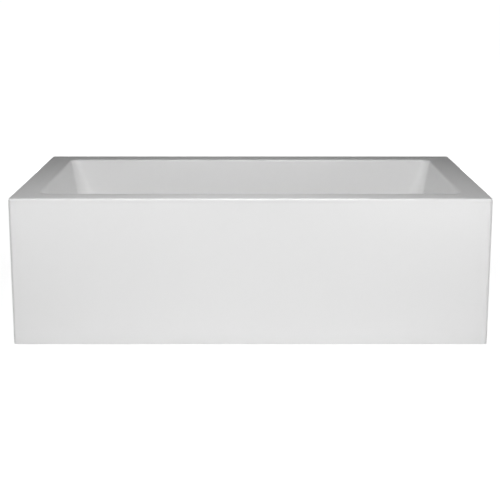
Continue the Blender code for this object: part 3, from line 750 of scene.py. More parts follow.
@once
def moulded_plastic():
    """Black polypropylene with a fine spark-eroded texture."""
    rgb = finishes().plastic
    finish = Finish("moulded_plastic", rgb, 0.42)
    tone = finish.effect(tone_drift(), Tone=paint(rgb), Second_Tone=paint(rgb, 1.5), Scale=22.0)
    dusty = finish.effect(settled_dust(), Colour=tone.outputs["Colour"], Amount=0.15)
    finish.colour(dusty.outputs["Colour"])
    finish.roughness(0.34, 0.52, 40.0)
    grain = finish.effect(surface_grain(), Grain_Scale=2000.0, Grain=0.7, Wave_Scale=90.0, Wave=0.4)
    finish.bump(grain.outputs["Height"], 0.25, 0.0003)
    return finish.material


@once
def grey_hose():
    """Blow-moulded hose, waxy and a little see-through."""
    rgb = finishes().hose
    finish = Finish("grey_hose", rgb, 0.38)
    finish.shader.inputs["Subsurface Weight"].default_value = 0.15
    finish.shader.inputs["Subsurface Scale"].default_value = 0.003
    tone = finish.effect(tone_drift(), Tone=paint(rgb), Second_Tone=paint(rgb, 0.86), Scale=18.0)
    finish.colour(tone.outputs["Colour"])
    finish.roughness(0.30, 0.48, 35.0)
    grain = finish.effect(surface_grain(), Grain_Scale=1200.0, Grain=0.4, Wave_Scale=80.0, Wave=0.4)
    finish.bump(grain.outputs["Height"], 0.15, 0.0003)
    return finish.material


# ---------------------------------------------------------------- shell and skirt
CORNER_STEPS = 14
LONG_STEPS = 28
SHORT_STEPS = 14
ROUND_POINTS = 4 * CORNER_STEPS + 2 * (LONG_STEPS + SHORT_STEPS)


def plan_ring(half_x, half_y, radius, end_z, side_z=None):
    """Rounded rectangle, with points along its sides; its height runs from end_z to side_z round corners."""
    side_z = end_z if side_z is None else side_z
    corner_x, corner_y = half_x - radius, half_y - radius
    ring = []
    signs = ((1, 1), (-1, 1), (-1, -1), (1, -1))
    for quarter, (sign_x, sign_y) in enumerate(signs):
        for i in range(CORNER_STEPS):
            turn = (quarter + i / CORNER_STEPS) * math.pi / 2
            across, along = math.cos(turn), math.sin(turn)
            z = end_z + (side_z - end_z) * along**2
            ring.append((sign_x * corner_x + radius * across, sign_y * corner_y + radius * along, z))
        if quarter % 2 == 0:
            xs = [sign_x * corner_x * (1 - 2 * i / LONG_STEPS) for i in range(LONG_STEPS)]
            ring += [(x, sign_y * half_y, side_z) for x in xs]
        else:
            ys = [sign_y * corner_y * (1 - 2 * i / SHORT_STEPS) for i in range(SHORT_STEPS)]
            ring += [(sign_x * half_x, y, end_z) for y in ys]
    return ring


def wall_section(slope, offset, edge_steps, wall_steps, fillet_steps):
    """Section of the basin from deck to floor, as (inset, z); offset moves it behind the inside face."""
    s = sizes()
    edge_r, fillet_r = s.basin_edge - offset, s.fillet + offset
    tangent = s.basin_edge * math.tan((math.pi / 2 - slope) / 2)
    points = []
    for i in range(edge_steps + 1):
        turn = (math.pi / 2 - slope) * i / edge_steps
        points.append((-tangent + edge_r * math.sin(turn), HEIGHT - s.basin_edge + edge_r * math.cos(turn)))
    fillet_z = s.floor + s.fillet
    fillet_inset = (HEIGHT - fillet_z) * math.tan(slope) + s.fillet / math.cos(slope)
    curve = []
    for i in range(fillet_steps + 1):
        turn = slope + (math.pi / 2 - slope) * i / fillet_steps
        curve.append((fillet_inset - fillet_r * math.cos(turn), fillet_z - fillet_r * math.sin(turn)))
    (x0, z0), (x1, z1) = points[-1], curve[0]
    for i in range(1, wall_steps):
        share = i / wall_steps
        points.append((x0 + (x1 - x0) * share, z0 + (z1 - z0) * share))
    return points + curve


def basin_rings(offset, edge_steps, wall_steps, fillet_steps):
    """Rings from the deck down to the edge of the flat floor."""
    s = sizes()
    ends = wall_section(s.end_slope, offset, edge_steps, wall_steps, fillet_steps)
    sides = wall_section(s.side_slope, offset, edge_steps, wall_steps, fillet_steps)
    foot = edge_steps + wall_steps
    foot_inset, foot_z = (ends[foot][0] + sides[foot][0]) / 2, ends[foot][1]
    rings = []
    for i, ((end_in, end_z), (side_in, side_z)) in enumerate(zip(ends, sides)):
        inset = (end_in + side_in) / 2
        if i < foot:
            depth = (HEIGHT - end_z) / (HEIGHT - foot_z)
            radius = s.basin_corner + (s.low_corner - s.basin_corner) * depth - min(inset, 0)
        else:
            radius = s.low_corner + offset - (inset - foot_inset)
        half_x = LENGTH / 2 - s.rim - end_in
        half_y = WIDTH / 2 - s.rim - side_in
        rings.append(plan_ring(half_x, half_y, radius, end_z, side_z))
    return rings


def outside_edge(radius, inset, steps, foot_z):
    """Rings from the foot of the lip up round the outside edge to the deck."""
    s = sizes()
    section = [(inset, foot_z)]
    for i in range(steps + 1):
        turn = math.pi / 2 * i / steps
        section.append((s.edge - radius * math.cos(turn), HEIGHT - s.edge + radius * math.sin(turn)))
    return [plan_ring(LENGTH / 2 - d, WIDTH / 2 - d, s.corner - d, z) for d, z in section]


def ring_round_waste(radius, z):
    """Circle round the waste, whose points are level with those of the basin's rings."""
    first = math.pi / 4 - math.pi * CORNER_STEPS / ROUND_POINTS
    turns = [first + 2 * math.pi * i / ROUND_POINTS for i in range(ROUND_POINTS)]
    return [(WASTE.x + radius * math.cos(a), WASTE.y + radius * math.sin(a), z) for a in turns]


def floor_rings(edge, fall, radius=0.042, steps=16):
    """Rings that turn the floor's rounded edge into a circle round the waste, falling gently to it."""
    top = edge[0][2]
    goals = [Vector(point) for point in ring_round_waste(radius, top - fall)]
    rings = []
    for k in range(1, steps + 1):
        share = k / steps
        z = top - fall * share * share * (3 - 2 * share)
        between = [Vector(point).lerp(goal, share) for point, goal in zip(edge, goals)]
        rings.append([(at.x, at.y, z) for at in between])
    return rings


class BATHTUB_OT_shell(bpy.types.Operator):
    """Deck, basin and turned-down lip in white acrylic, with laminate on the back"""

    bl_idname = "bathtub.shell"
    bl_label = "Shell"

    def execute(self, context):
        s = sizes()
        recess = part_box("waste_gasket")[0].z - GAP
        dish = ((0.0375, 0.0), (0.0390, 0.0004), (0.0405, 0.0017))
        dish_depth = 0.0025
        foot_z = SKIRT_HIGH.z + GAP
        inside = basin_rings(0.0, 8, 10, 14)
        floor = floor_rings(inside[-1], s.floor - recess - dish_depth)
        front = [ring_round_waste(WASTE_HOLE_R, recess)] + [ring_round_waste(r, recess + z) for r, z in dish]
        front += floor[::-1] + inside[::-1] + outside_edge(s.edge, 0.0, 10, foot_z)[::-1]
        outside = basin_rings(s.shell, 2, 4, 8)
        under = [(x, y, UNDERSIDE) for x, y, _ in outside[-1]]
        back = outside_edge(s.edge - s.skirt, s.skirt, 4, foot_z) + outside[:-1] + [under]
        back += [ring_round_waste(WASTE_HOLE_R, UNDERSIDE)]
        slots = [0] * (len(front) - 1) + [1] * len(back) + [1]
        mesh = lofted("tub_shell", front + back, closed=True, slots=slots)
        shell = add("acrylic_shell", mesh, white_acrylic(), fibre_laminate())
        cut(shell, [rod(OVERFLOW_HOLE_R, -0.03, 0.03, **overflow_place())])
        fitted(shell, "tub", "acrylic", "tub_shell")
        return {"FINISHED"}


class BATHTUB_OT_skirt(bpy.types.Operator):
    """One-piece skirt with rounded upright corners, laminated inside"""

    bl_idname = "bathtub.skirt"
    bl_label = "Skirt"

    def execute(self, context):
        s = sizes()
        low, high, thick, ease = SKIRT_LOW.z, SKIRT_HIGH.z, s.skirt, 0.0012
        levels = [high - (high - low) * i / 8 for i in range(8)]
        outline = [(0.0, z) for z in levels] + [(0.0, low + ease), (ease, low), (thick, low), (thick, high)]
        rings = [plan_ring(LENGTH / 2 - d, WIDTH / 2 - d, s.corner - d, z) for d, z in outline]
        inside_band = len(rings) - 2
        slots = [1 if i == inside_band else 0 for i in range(len(rings))]
        mesh = lofted("outer_skirt", rings, closed=True, slots=slots)
        skirt = add("acrylic_skirt", mesh, white_acrylic(), fibre_laminate())
        fitted(skirt, "tub", "acrylic", "outer_skirt")
        return {"FINISHED"}


# ---------------------------------------------------------------- timber and board
class BATHTUB_OT_timber(bpy.types.Operator):
    """Strips under the deck and inside the skirt, and the board under the basin"""

    bl_idname = "bathtub.timber"
    bl_label = "Timber and board"

    def execute(self, context):
        for kind, ease in (("rim_board", 0.004), ("skirt_batten", 0.0025)):
            for side, direction in (("front", "x"), ("back", "x"), ("left", "y"), ("right", "y")):
                node = f"{kind}_{side}"
                strip = add(f"{node}_timber", self.strip(node), sawn_timber(direction))
                softened(strip, ease, 3)
                fitted(strip, "tub", "timber", node)
        refinish("base_board", particle_board())
        return {"FINISHED"}

    def strip(self, node):
        """A straight strip that fills the node's box, with a joint line sawn across each third."""
        low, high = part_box(node)
        long_axis = 0 if high.x - low.x > high.y - low.y else 1
        bm = bmesh.new()
        matrix = Matrix.Translation((low + high) / 2) @ Matrix.Diagonal((*(high - low), 1.0))
        bmesh.ops.create_cube(bm, size=1.0, matrix=matrix)
        for share in (1 / 3, 2 / 3):
            at, normal = low.lerp(high, share), Vector((0, 0, 0))
            normal[long_axis] = 1.0
            everything = bm.verts[:] + bm.edges[:] + bm.faces[:]
            bmesh.ops.bisect_plane(bm, geom=everything, plane_co=at, plane_no=normal)
        return finished(bm, node)


# ---------------------------------------------------------------- frame
def square_ring(x, half, radius, steps=4):
    """Rounded square across X."""
    points = []
    for quarter in range(4):
        for i in range(steps + 1):
            turn = (quarter + i / steps) * math.pi / 2
            sign_y, sign_z = ((1, 1), (-1, 1), (-1, -1), (1, -1))[quarter]
            y = sign_y * (half - radius) + radius * math.cos(turn)
            z = sign_z * (half - radius) + radius * math.sin(turn)
            points.append((x, y, z))
    return points


def box_section(name, length, size, parts=8):
    """Square tube along X with rolled corners, its walls divided lengthwise so that each hole has a face."""
    half, wall, radius = size / 2, 0.002, 0.0035
    along = [length * (i / parts - 0.5) for i in range(parts + 1)]
    outside = [square_ring(x, half, radius) for x in along]
    inside = [square_ring(x, half - wall, radius - wall) for x in reversed(along)]
    return lofted(name, outside + inside, closed=True)


def weld_bead(name, centre, size):
    """A rippled bead round the end of a square tube that runs along X."""
    half, radius = size / 2 + 0.0008, 0.0022
    corners = [Vector(point) for point in square_ring(0.0, half, 0.004, 3)]
    closed = corners + corners[:1]
    path = []
    for here, after in zip(closed, closed[1:]):
        steps = max(1, round((after - here).length / 0.0008))
        path += [centre + here.lerp(after, k / steps) for k in range(steps)]

    def rippled(travelled):
        return radius * (1 + 0.16 * math.sin(2 * math.pi * travelled / 0.0032))

    return add(name, swept(name, path, rippled, 10, closed=True), weld_metal())


STRAPS = (
    # node, axis along which it reaches, turn from +X to the way it reaches
    ("skirt_bracket_front_left", 1, -math.pi / 2),
    ("skirt_bracket_front_right", 1, -math.pi / 2),
    ("skirt_bracket_back_left", 1, math.pi / 2),
    ("skirt_bracket_back_right", 1, math.pi / 2),
    ("end_bracket_left", 0, math.pi),
    ("end_bracket_right", 0, 0.0),
)


class BATHTUB_OT_frame(bpy.types.Operator):
    """Galvanised box-section frame with its welds, straps and screws"""

    bl_idname = "bathtub.frame"
    bl_label = "Steel frame"

    def execute(self, context):
        size = RAIL_HIGH.z - RAIL_LOW.z
        for side in ("left", "right"):
            node = f"cross_rail_{side}"
            low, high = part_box(node)
            middle = (low + high) / 2
            mesh = box_section(node, high.y - low.y, size)
            quarter = (0, 0, math.pi / 2)
            rail = add(f"{node}_tube", mesh, galvanised_steel(), location=middle, rotation=quarter)
            holes = []
            for y in (-FOOT_Y, FOOT_Y):
                holes.append(rod(0.0088, -size / 4, size / 4, 32, location=(middle.x, y, low.z)))
            for y in (-SCREW_Y, SCREW_Y):
                holes.append(rod(0.0035, -size, size, 32, location=(middle.x, y, middle.z)))
            cut(rail, holes)
            fitted(rail, "tub", "galvanised_steel", node)
        for side in ("front", "back"):
            node = f"long_rail_{side}"
            low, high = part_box(node)
            middle = (low + high) / 2
            mesh = box_section(node, high.x - low.x, size)
            rail = add(f"{node}_tube", mesh, galvanised_steel(), location=middle)
            fitted(rail, "tub", "galvanised_steel", node)
            for end, x in (("left", low.x + WELD_INSET), ("right", high.x - WELD_INSET)):
                bead = weld_bead(f"weld_{side}_{end}", Vector((x, middle.y, middle.z)), size)
                fitted(bead, "tub", "galvanised_steel")
        self.straps()
        for n in (1, 2, 3, 4):
            self.frame_screw(n)
        return {"FINISHED"}

    def straps(self):
        """Bent straps to the skirt, each with a screw into the frame and two into the batten."""
        number = 0
        for node, axis, turn in STRAPS:
            low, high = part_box(node)
            start, reach = sorted((abs(low[axis]), abs(high[axis])))
            at, width = (low + high) / 2, high[1 - axis] - low[1 - axis]
            at[axis] = at.z = 0.0
            if node.startswith("end"):  # a tab down the side of the rail
                tab = high.z - 0.024
                outer = start + STRAP_T
                section = [(outer, high.z - STRAP_T), (outer, tab), (start, tab), (start, high.z)]
                screws = [((outer, 0.0, high.z - 0.014), math.pi / 2)]
            else:  # flat on the rail
                section = [(start, high.z - STRAP_T), (start, high.z)]
                screws = [((start + 0.018, 0.0, high.z), 0.0)]
            inner = reach - STRAP_T
            section += [(reach, high.z), (reach, low.z), (inner, low.z), (inner, high.z - STRAP_T)]
            screws += [((inner, 0.0, low.z + up), -math.pi / 2) for up in (0.008, 0.022)]
            mesh = self.bent_bar(node, section, width)
            strap = add(f"{node}_strap", mesh, galvanised_steel(), location=at, rotation=(0, 0, turn))
            fitted(strap, "tub", "galvanised_steel", node)
            to_world = Matrix.Translation(at) @ Matrix.Rotation(turn, 4, "Z")
            for seat, tilt in screws:
                number += 1
                head = hexagon_head("strap_screw", 0.007, 0.0035, 0.0062)
                screw = add(f"strap_screw_{number:02d}", head, zinc_plate())
                screw.matrix_world = to_world @ Matrix.Translation(seat) @ Matrix.Rotation(tilt, 4, "Y")
                fitted(screw, "tub", "zinc")

    def bent_bar(self, name, section, width):
        """Flat bar lofted across Y from its bent section, with its cut edges eased."""
        bent = rounded(section, 0.0045, 4)
        half, ease, drop = width / 2, 0.0006, 0.0004
        across = ((-half, drop), (ease - half, 0.0), (half - ease, 0.0), (half, drop))
        return lofted(name, [[(x, y, z - lowered) for x, z in bent] for y, lowered in across])

    def frame_screw(self, n):
        """Hexagon-headed screw up through the rail, threaded from its head to its point."""
        node = f"frame_screw_{n}"
        low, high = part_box(node)
        middle = (low + high) / 2
        head_top = RAIL_LOW.z - GAP
        rings = hexagon_rings(0.010, low.z, head_top, 0.0008)
        rings += thread_rings(0.003, 0.0024, 0.0012, head_top + 0.0002, high.z - 0.004, 36)
        rings.append(circle(0.0006, high.z, 36))
        screw = add(f"{node}_plated", lofted(node, rings), zinc_plate(), location=(middle.x, middle.y, 0))
        fitted(screw, "tub", "zinc", node)


def hexagon_rings(across_flats, low, high, chamfer, steps=36):
    """Rings of a hexagonal prism whose corners are turned off at both ends."""
    rings = []
    cropped, whole = 0.97, 1.16  # of half the width across the flats
    for z, share in ((low, cropped), (low + chamfer, whole), (high - chamfer, whole), (high, cropped)):
        limit = across_flats / 2 * share
        ring = []
        for i in range(steps):
            angle = 2 * math.pi * i / steps
            radius = min(hexagon_radius(across_flats, angle), limit)
            ring.append((radius * math.cos(angle), radius * math.sin(angle), z))
        rings.append(ring)
    return rings


def hexagon_head(name, across_flats, height, flange_r):
    """A flanged hexagon head that stands on Z = 0; its shank, hidden in what it holds, is left out."""
    rings = [circle(flange_r - 0.0003, 0.0, 36), circle(flange_r, 0.0003, 36), circle(flange_r, 0.0007, 36)]
    rings += [circle(across_flats / 2 * 1.18, 0.0012, 36)]
    return lofted(name, rings + hexagon_rings(across_flats, 0.0013, height + 0.0013, 0.0005)[1:])


def thread_rings(major, minor, pitch, low, high, steps=24, per_pitch=6):
    """Rings of a screw thread: each point's radius follows a ridge that climbs with the angle."""
    count = max(2, round((high - low) / pitch * per_pitch))
    rings = []
    for k in range(count + 1):
        z = low + (high - low) * k / count
        fade = min(1.0, k / per_pitch, (count - k) / per_pitch)
        ring = []
        for i in range(steps):
            phase = (z / pitch - i / steps) % 1.0
            ridge = 1.0 - abs(2 * phase - 1.0)
            radius = major - (major - minor) * min(1.0, 1.35 * ridge) * fade
            angle = 2 * math.pi * i / steps
            ring.append((radius * math.cos(angle), radius * math.sin(angle), z))
        rings.append(ring)
    return rings


# ---------------------------------------------------------------- feet
class BATHTUB_OT_feet(bpy.types.Operator):
    """Screw feet: ribbed rubber pads, threaded studs, lock nuts and inserts"""

    bl_idname = "bathtub.feet"
    bl_label = "Screw feet"

    def execute(self, context):
        for n, at in enumerate(FEET, start=1):
            axis = (at.x, at.y, 0.0)
            pad = add(f"foot_pad_{n}_rubber", self.pad(), moulded_rubber(), location=axis)
            fitted(pad, f"foot_{n}", "rubber", f"foot_pad_{n}")
            stud = add(f"foot_stud_{n}_threaded", self.stud(n), zinc_plate(), location=axis)
            fitted(stud, f"stud_{n}", "zinc", f"foot_stud_{n}")
            nut = add(f"lock_nut_{n}_plated", self.nut(n), zinc_plate(), location=axis)
            fitted(nut, "tub", "zinc", f"lock_nut_{n}")
            refinish(f"foot_insert_{n}", zinc_plate())
        return {"FINISHED"}

    def pad(self):
        """Bell-shaped pad with a gripping ring below and stiffening steps above."""
        outline = [(0, 0.0012), (0.0125, 0.0012), (0.0130, 0.0), (0.0245, 0.0), (0.0250, 0.0012)]
        outline += [(0.0248, 0.0060), (0.0190, 0.0078), (0.0150, 0.0094), (0.0125, 0.0110)]
        outline += [(0.0115, 0.0220), (0.0068, 0.0220), (0.0068, 0.0080), (0, 0.0080)]
        return turned("foot_pad", rounded(outline, 0.0009), 72)

    def stud(self, n):
        """Stud with its thread above a spanner collar and a plain ball-ended shank in the pad."""
        low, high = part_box(f"foot_stud_{n}")
        collar_low, collar_high = 0.026, 0.034
        shank = [(0.0015, low.z), (0.0042, low.z + 0.0008), (0.0058, low.z + 0.0030), (0.0058, collar_low)]
        rings = [circle(radius, z, 36) for radius, z in shank]
        rings += hexagon_rings(0.017, collar_low, collar_high, 0.0008)
        rings += thread_rings(0.006, 0.0051, THREAD_PITCH, collar_high, high.z - 0.0015, 36)
        rings.append(circle(0.0046, high.z, 36))
        return lofted("foot_stud", rings)

    def nut(self, n):
        """Hexagon nut whose corners and bore are turned off."""
        low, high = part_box(f"lock_nut_{n}")
        bore = 0.0065
        rings = hexagon_rings(0.018, low.z, high.z, 0.0009)
        rings += [circle(bore + 0.0005, high.z, 36), circle(bore, high.z - 0.0006, 36)]
        rings += [circle(bore, low.z + 0.0006, 36), circle(bore + 0.0005, low.z, 36)]
        return lofted("lock_nut", rings, closed=True)


# ---------------------------------------------------------------- waste and plug
def ribbed(name, outline, ribs, depth, ribbed_from, steps_per_rib=6):
    """A turned piece whose points outside ribbed_from are raised and lowered by upright grip ribs."""
    steps = ribs * steps_per_rib
    rings = []
    for radius, z in outline:
        ring = []
        for i in range(steps):
            angle = 2 * math.pi * i / steps
            wave = 0.5 - 0.5 * math.cos(ribs * angle)
            r = radius - depth * wave if radius > ribbed_from else radius
            ring.append((r * math.cos(angle), r * math.sin(angle), z))
        rings.append(ring)
    return lofted(name, rings, closed=True)


def band(node, inside_r, outside_r):
    """Outline of a plain ring as tall as the node's box."""
    low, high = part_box(node)
    return [(inside_r, low.z), (outside_r, low.z), (outside_r, high.z), (inside_r, high.z)]


class BATHTUB_OT_waste(bpy.types.Operator):
    """Chrome flange with its spider, seals, moulded body, nut and tail pipe"""

    bl_idname = "bathtub.waste"
    bl_label = "Waste"

    def execute(self, context):
        fitted(self.flange(), "tub", "chrome", "waste_flange")
        for node, outside_r in (("waste_gasket", 0.0335), ("waste_washer", 0.0360)):
            mesh = turned(node, rounded(band(node, 0.0265, outside_r), 0.0005))
            fitted(add(f"{node}_rubber", mesh, moulded_rubber(), location=WASTE), "tub", "rubber", node)
        fitted(self.body(), "tub", "black_plastic", "waste_body")
        mesh = turned("tail_pipe", rounded(band("tail_pipe", 0.0172, 0.019), 0.0004))
        fitted(add("tail_pipe_chrome", mesh, polished_chrome(), location=WASTE), "tub", "chrome", "tail_pipe")
        low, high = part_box("tail_nut")
        outline = [(0.0194, low.z), (0.028, low.z), (0.028, high.z), (0.0229, high.z)]
        outline += [(0.0229, low.z + 0.006), (0.0194, low.z + 0.006)]
        mesh = ribbed("tail_nut", rounded(outline, 0.0010), 20, 0.0013, 0.0265)
        nut = add("tail_nut_ribbed", mesh, moulded_plastic(), location=WASTE)
        fitted(nut, "tub", "black_plastic", "tail_nut")
        return {"FINISHED"}

    def flange(self):
        """Polished dish with a threaded spigot and a cross that carries the stem's boss."""
        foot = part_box("waste_flange")[0].z
        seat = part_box("waste_gasket")[0].z - GAP
        rim = seat + 2 * GAP + 0.0012
        outline = [(0.035, rim), (0.035, seat + 0.0026), (0.0335, seat + 0.0034), (0.0240, seat + 0.0028)]
        outline += [(0.0195, seat - 0.0015), (0.0195, foot), (0.0235, foot), (0.0235, rim)]
        mesh = turned("waste_flange", rounded(outline, 0.0008, 4), 96)
        flange = add("waste_flange_chrome", mesh, polished_chrome(), location=WASTE)
        spoke = bar((-0.0205, -0.0015, 0.090), (0.0205, 0.0015, 0.096))
        boss = [(STEM_BORE_R, 0.0885), (0.0080, 0.0885), (0.0080, 0.1000), (STEM_BORE_R, 0.1000)]
        parts = [add("spoke", spoke, location=WASTE, rotation=(0, 0, turn)) for turn in (0.0, math.pi / 2)]
        parts.append(add("boss", turned("boss", rounded(boss, 0.0006), 48), location=WASTE))
        unite(flange, parts)
        cut(flange, [rod(STEM_BORE_R, 0.08, 0.11, location=WASTE)])
        return flange

    def body(self):
        """Moulded body with a clamping ring, upright ribs and the overflow's inlet."""
        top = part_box("waste_body")[1].z
        outline = [(0.024, top), (0.037, top), (0.037, top - 0.005), (0.0305, top - 0.008), (0.0305, 0.038)]
        outline += [(0.0225, 0.034), (0.0225, 0.022), (0.0196, 0.022), (0.0196, 0.036), (0.0265, 0.040)]
        outline += [(0.0265, 0.084), (0.024, 0.086)]
        mesh = turned("waste_body", rounded(outline, 0.0012, 3), 96)
        body = add("waste_body_moulded", mesh, moulded_plastic(), location=WASTE)
        rib = bar((0.0290, -0.0009, 0.040), (0.0350, 0.0009, top - 0.0048))
        eighths = [math.pi / 4 * i for i in range(8) if i != 6]  # the inlet takes the place of the seventh
        parts = [add("rib", rib, location=WASTE, rotation=(0, 0, turn)) for turn in eighths]
        hose_z = (sum(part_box("hose_nut_bottom"), Vector()) / 2).z
        forward = {"location": (WASTE.x, WASTE.y, hose_z), "rotation": (math.pi / 2, 0, 0)}
        inlet = [circle(HOSE_SPIGOT_R, z, 48) for z in (0.0285, 0.0540)] + [circle(0.0090, 0.0560, 48)]
        parts.append(add("inlet", lofted("inlet", inlet), **forward))
        unite(body, parts)
        cut(body, [rod(HOSE_SPIGOT_BORE_R, 0.020, 0.060, **forward)])
        return body


def bar(low, high):
    """A straight bar between two corners, for joining to another piece."""
    bm = bmesh.new()
    size, middle = Vector(high) - Vector(low), (Vector(high) + Vector(low)) / 2
    matrix = Matrix.Translation(middle) @ Matrix.Diagonal((*size, 1.0))
    bmesh.ops.create_cube(bm, size=1.0, matrix=matrix)
    edges = bm.edges[:]
    bmesh.ops.bevel(bm, geom=edges, offset=min(size) * 0.2, segments=2, affect="EDGES", profile=0.5)
    return finished(bm, "bar")


class BATHTUB_OT_plug(bpy.types.Operator):
    """Push plug: domed chrome cap, seal, stem and return spring"""

    bl_idname = "bathtub.plug"
    bl_label = "Push plug"

    def execute(self, context):
        low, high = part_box("plug_cap")
        edge = high.z - 0.0042
        outline = [(0, high.z)]
        for i in range(1, 9):
            share = i / 8
            outline.append((0.0288 * share, high.z - 0.0013 * share**2))
        outline += [(0.0299, high.z - 0.0022), (0.0300, edge + 0.0014), (0.0293, edge)]
        outline += [(0.0088, edge), (0.0088, low.z), (0.0043, low.z), (0.0043, edge - 0.0010)]
        outline += [(0, edge - 0.0010)]
        mesh = turned("plug_cap", rounded(outline, 0.0005), 96)
        fitted(add("plug_cap_chrome", mesh, polished_chrome(), location=WASTE), "plug", "chrome", "plug_cap")

        low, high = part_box("plug_seal")
        outline = [(0.0092, low.z), (0.0205, low.z), (0.0235, high.z - 0.0008), (0.0235, high.z)]
        outline += [(0.0092, high.z)]
        mesh = turned("plug_seal", rounded(outline, 0.0004), 96)
        fitted(add("plug_seal_rubber", mesh, moulded_rubber(), location=WASTE), "plug", "rubber", "plug_seal")

        low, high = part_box("plug_stem")
        rings = [circle(0.0024, low.z, 36), circle(0.0032, low.z + 0.0008, 36)]
        rings += thread_rings(0.004, 0.0035, 0.0010, low.z + 0.0012, low.z + 0.012, 36)
        rings += [circle(0.004, low.z + 0.0125, 36), circle(0.004, high.z, 36)]
        stem = add("plug_stem_steel", lofted("plug_stem", rings), drawn_stainless(), location=WASTE)
        fitted(stem, "plug", "stainless", "plug_stem")
        self.spring()
        return {"FINISHED"}

    def spring(self):
        """Compression spring with closed end turns."""
        low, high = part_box("plug_spring")
        wire, coil, turns, per_turn = 0.0006, 0.0066, 6.0, 36
        count = int(turns * per_turn)
        path = []
        for i in range(count + 1):
            share = i / count
            climb = min(1.0, max(0.0, (share - 0.12) / 0.76))
            z = low.z + wire + (high.z - low.z - 2 * wire - 0.0018) * climb + 0.0018 * share
            angle = 2 * math.pi * turns * share
            path.append(WASTE + Vector((coil * math.cos(angle), coil * math.sin(angle), z)))
        spring = add("plug_spring_steel", swept("plug_spring", path, wire, 10), drawn_stainless())
        fitted(spring, "tub", "stainless", "plug_spring")
        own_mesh(spring)


# ---------------------------------------------------------------- overflow
def overflow_place():
    """Location and rotation on the front wall: local +Z into the basin, local +Y down the wall."""
    s = sizes()
    inset = s.rim + s.overflow_drop * math.tan(s.side_slope)
    at = (0, -(WIDTH / 2 - inset), HEIGHT - s.overflow_drop)
    return {"location": at, "rotation": (s.side_slope - math.pi / 2, 0, 0)}


HOSE_ROUTE = [  # the middle of the hose, from the elbow's spigot to the waste body's inlet
    (0.000, -0.3875, 0.4030),
    (0.000, -0.3875, 0.3600),
    (0.009, -0.3920, 0.2650),
    (0.012, -0.3920, 0.1900),
    (0.006, -0.3800, 0.1120),
    (0.000, -0.3420, 0.0630),
    (0.000, -0.2850, 0.0450),
    (0.000, -0.2250, 0.0450),
    (0.000, -0.1640, 0.0450),
]


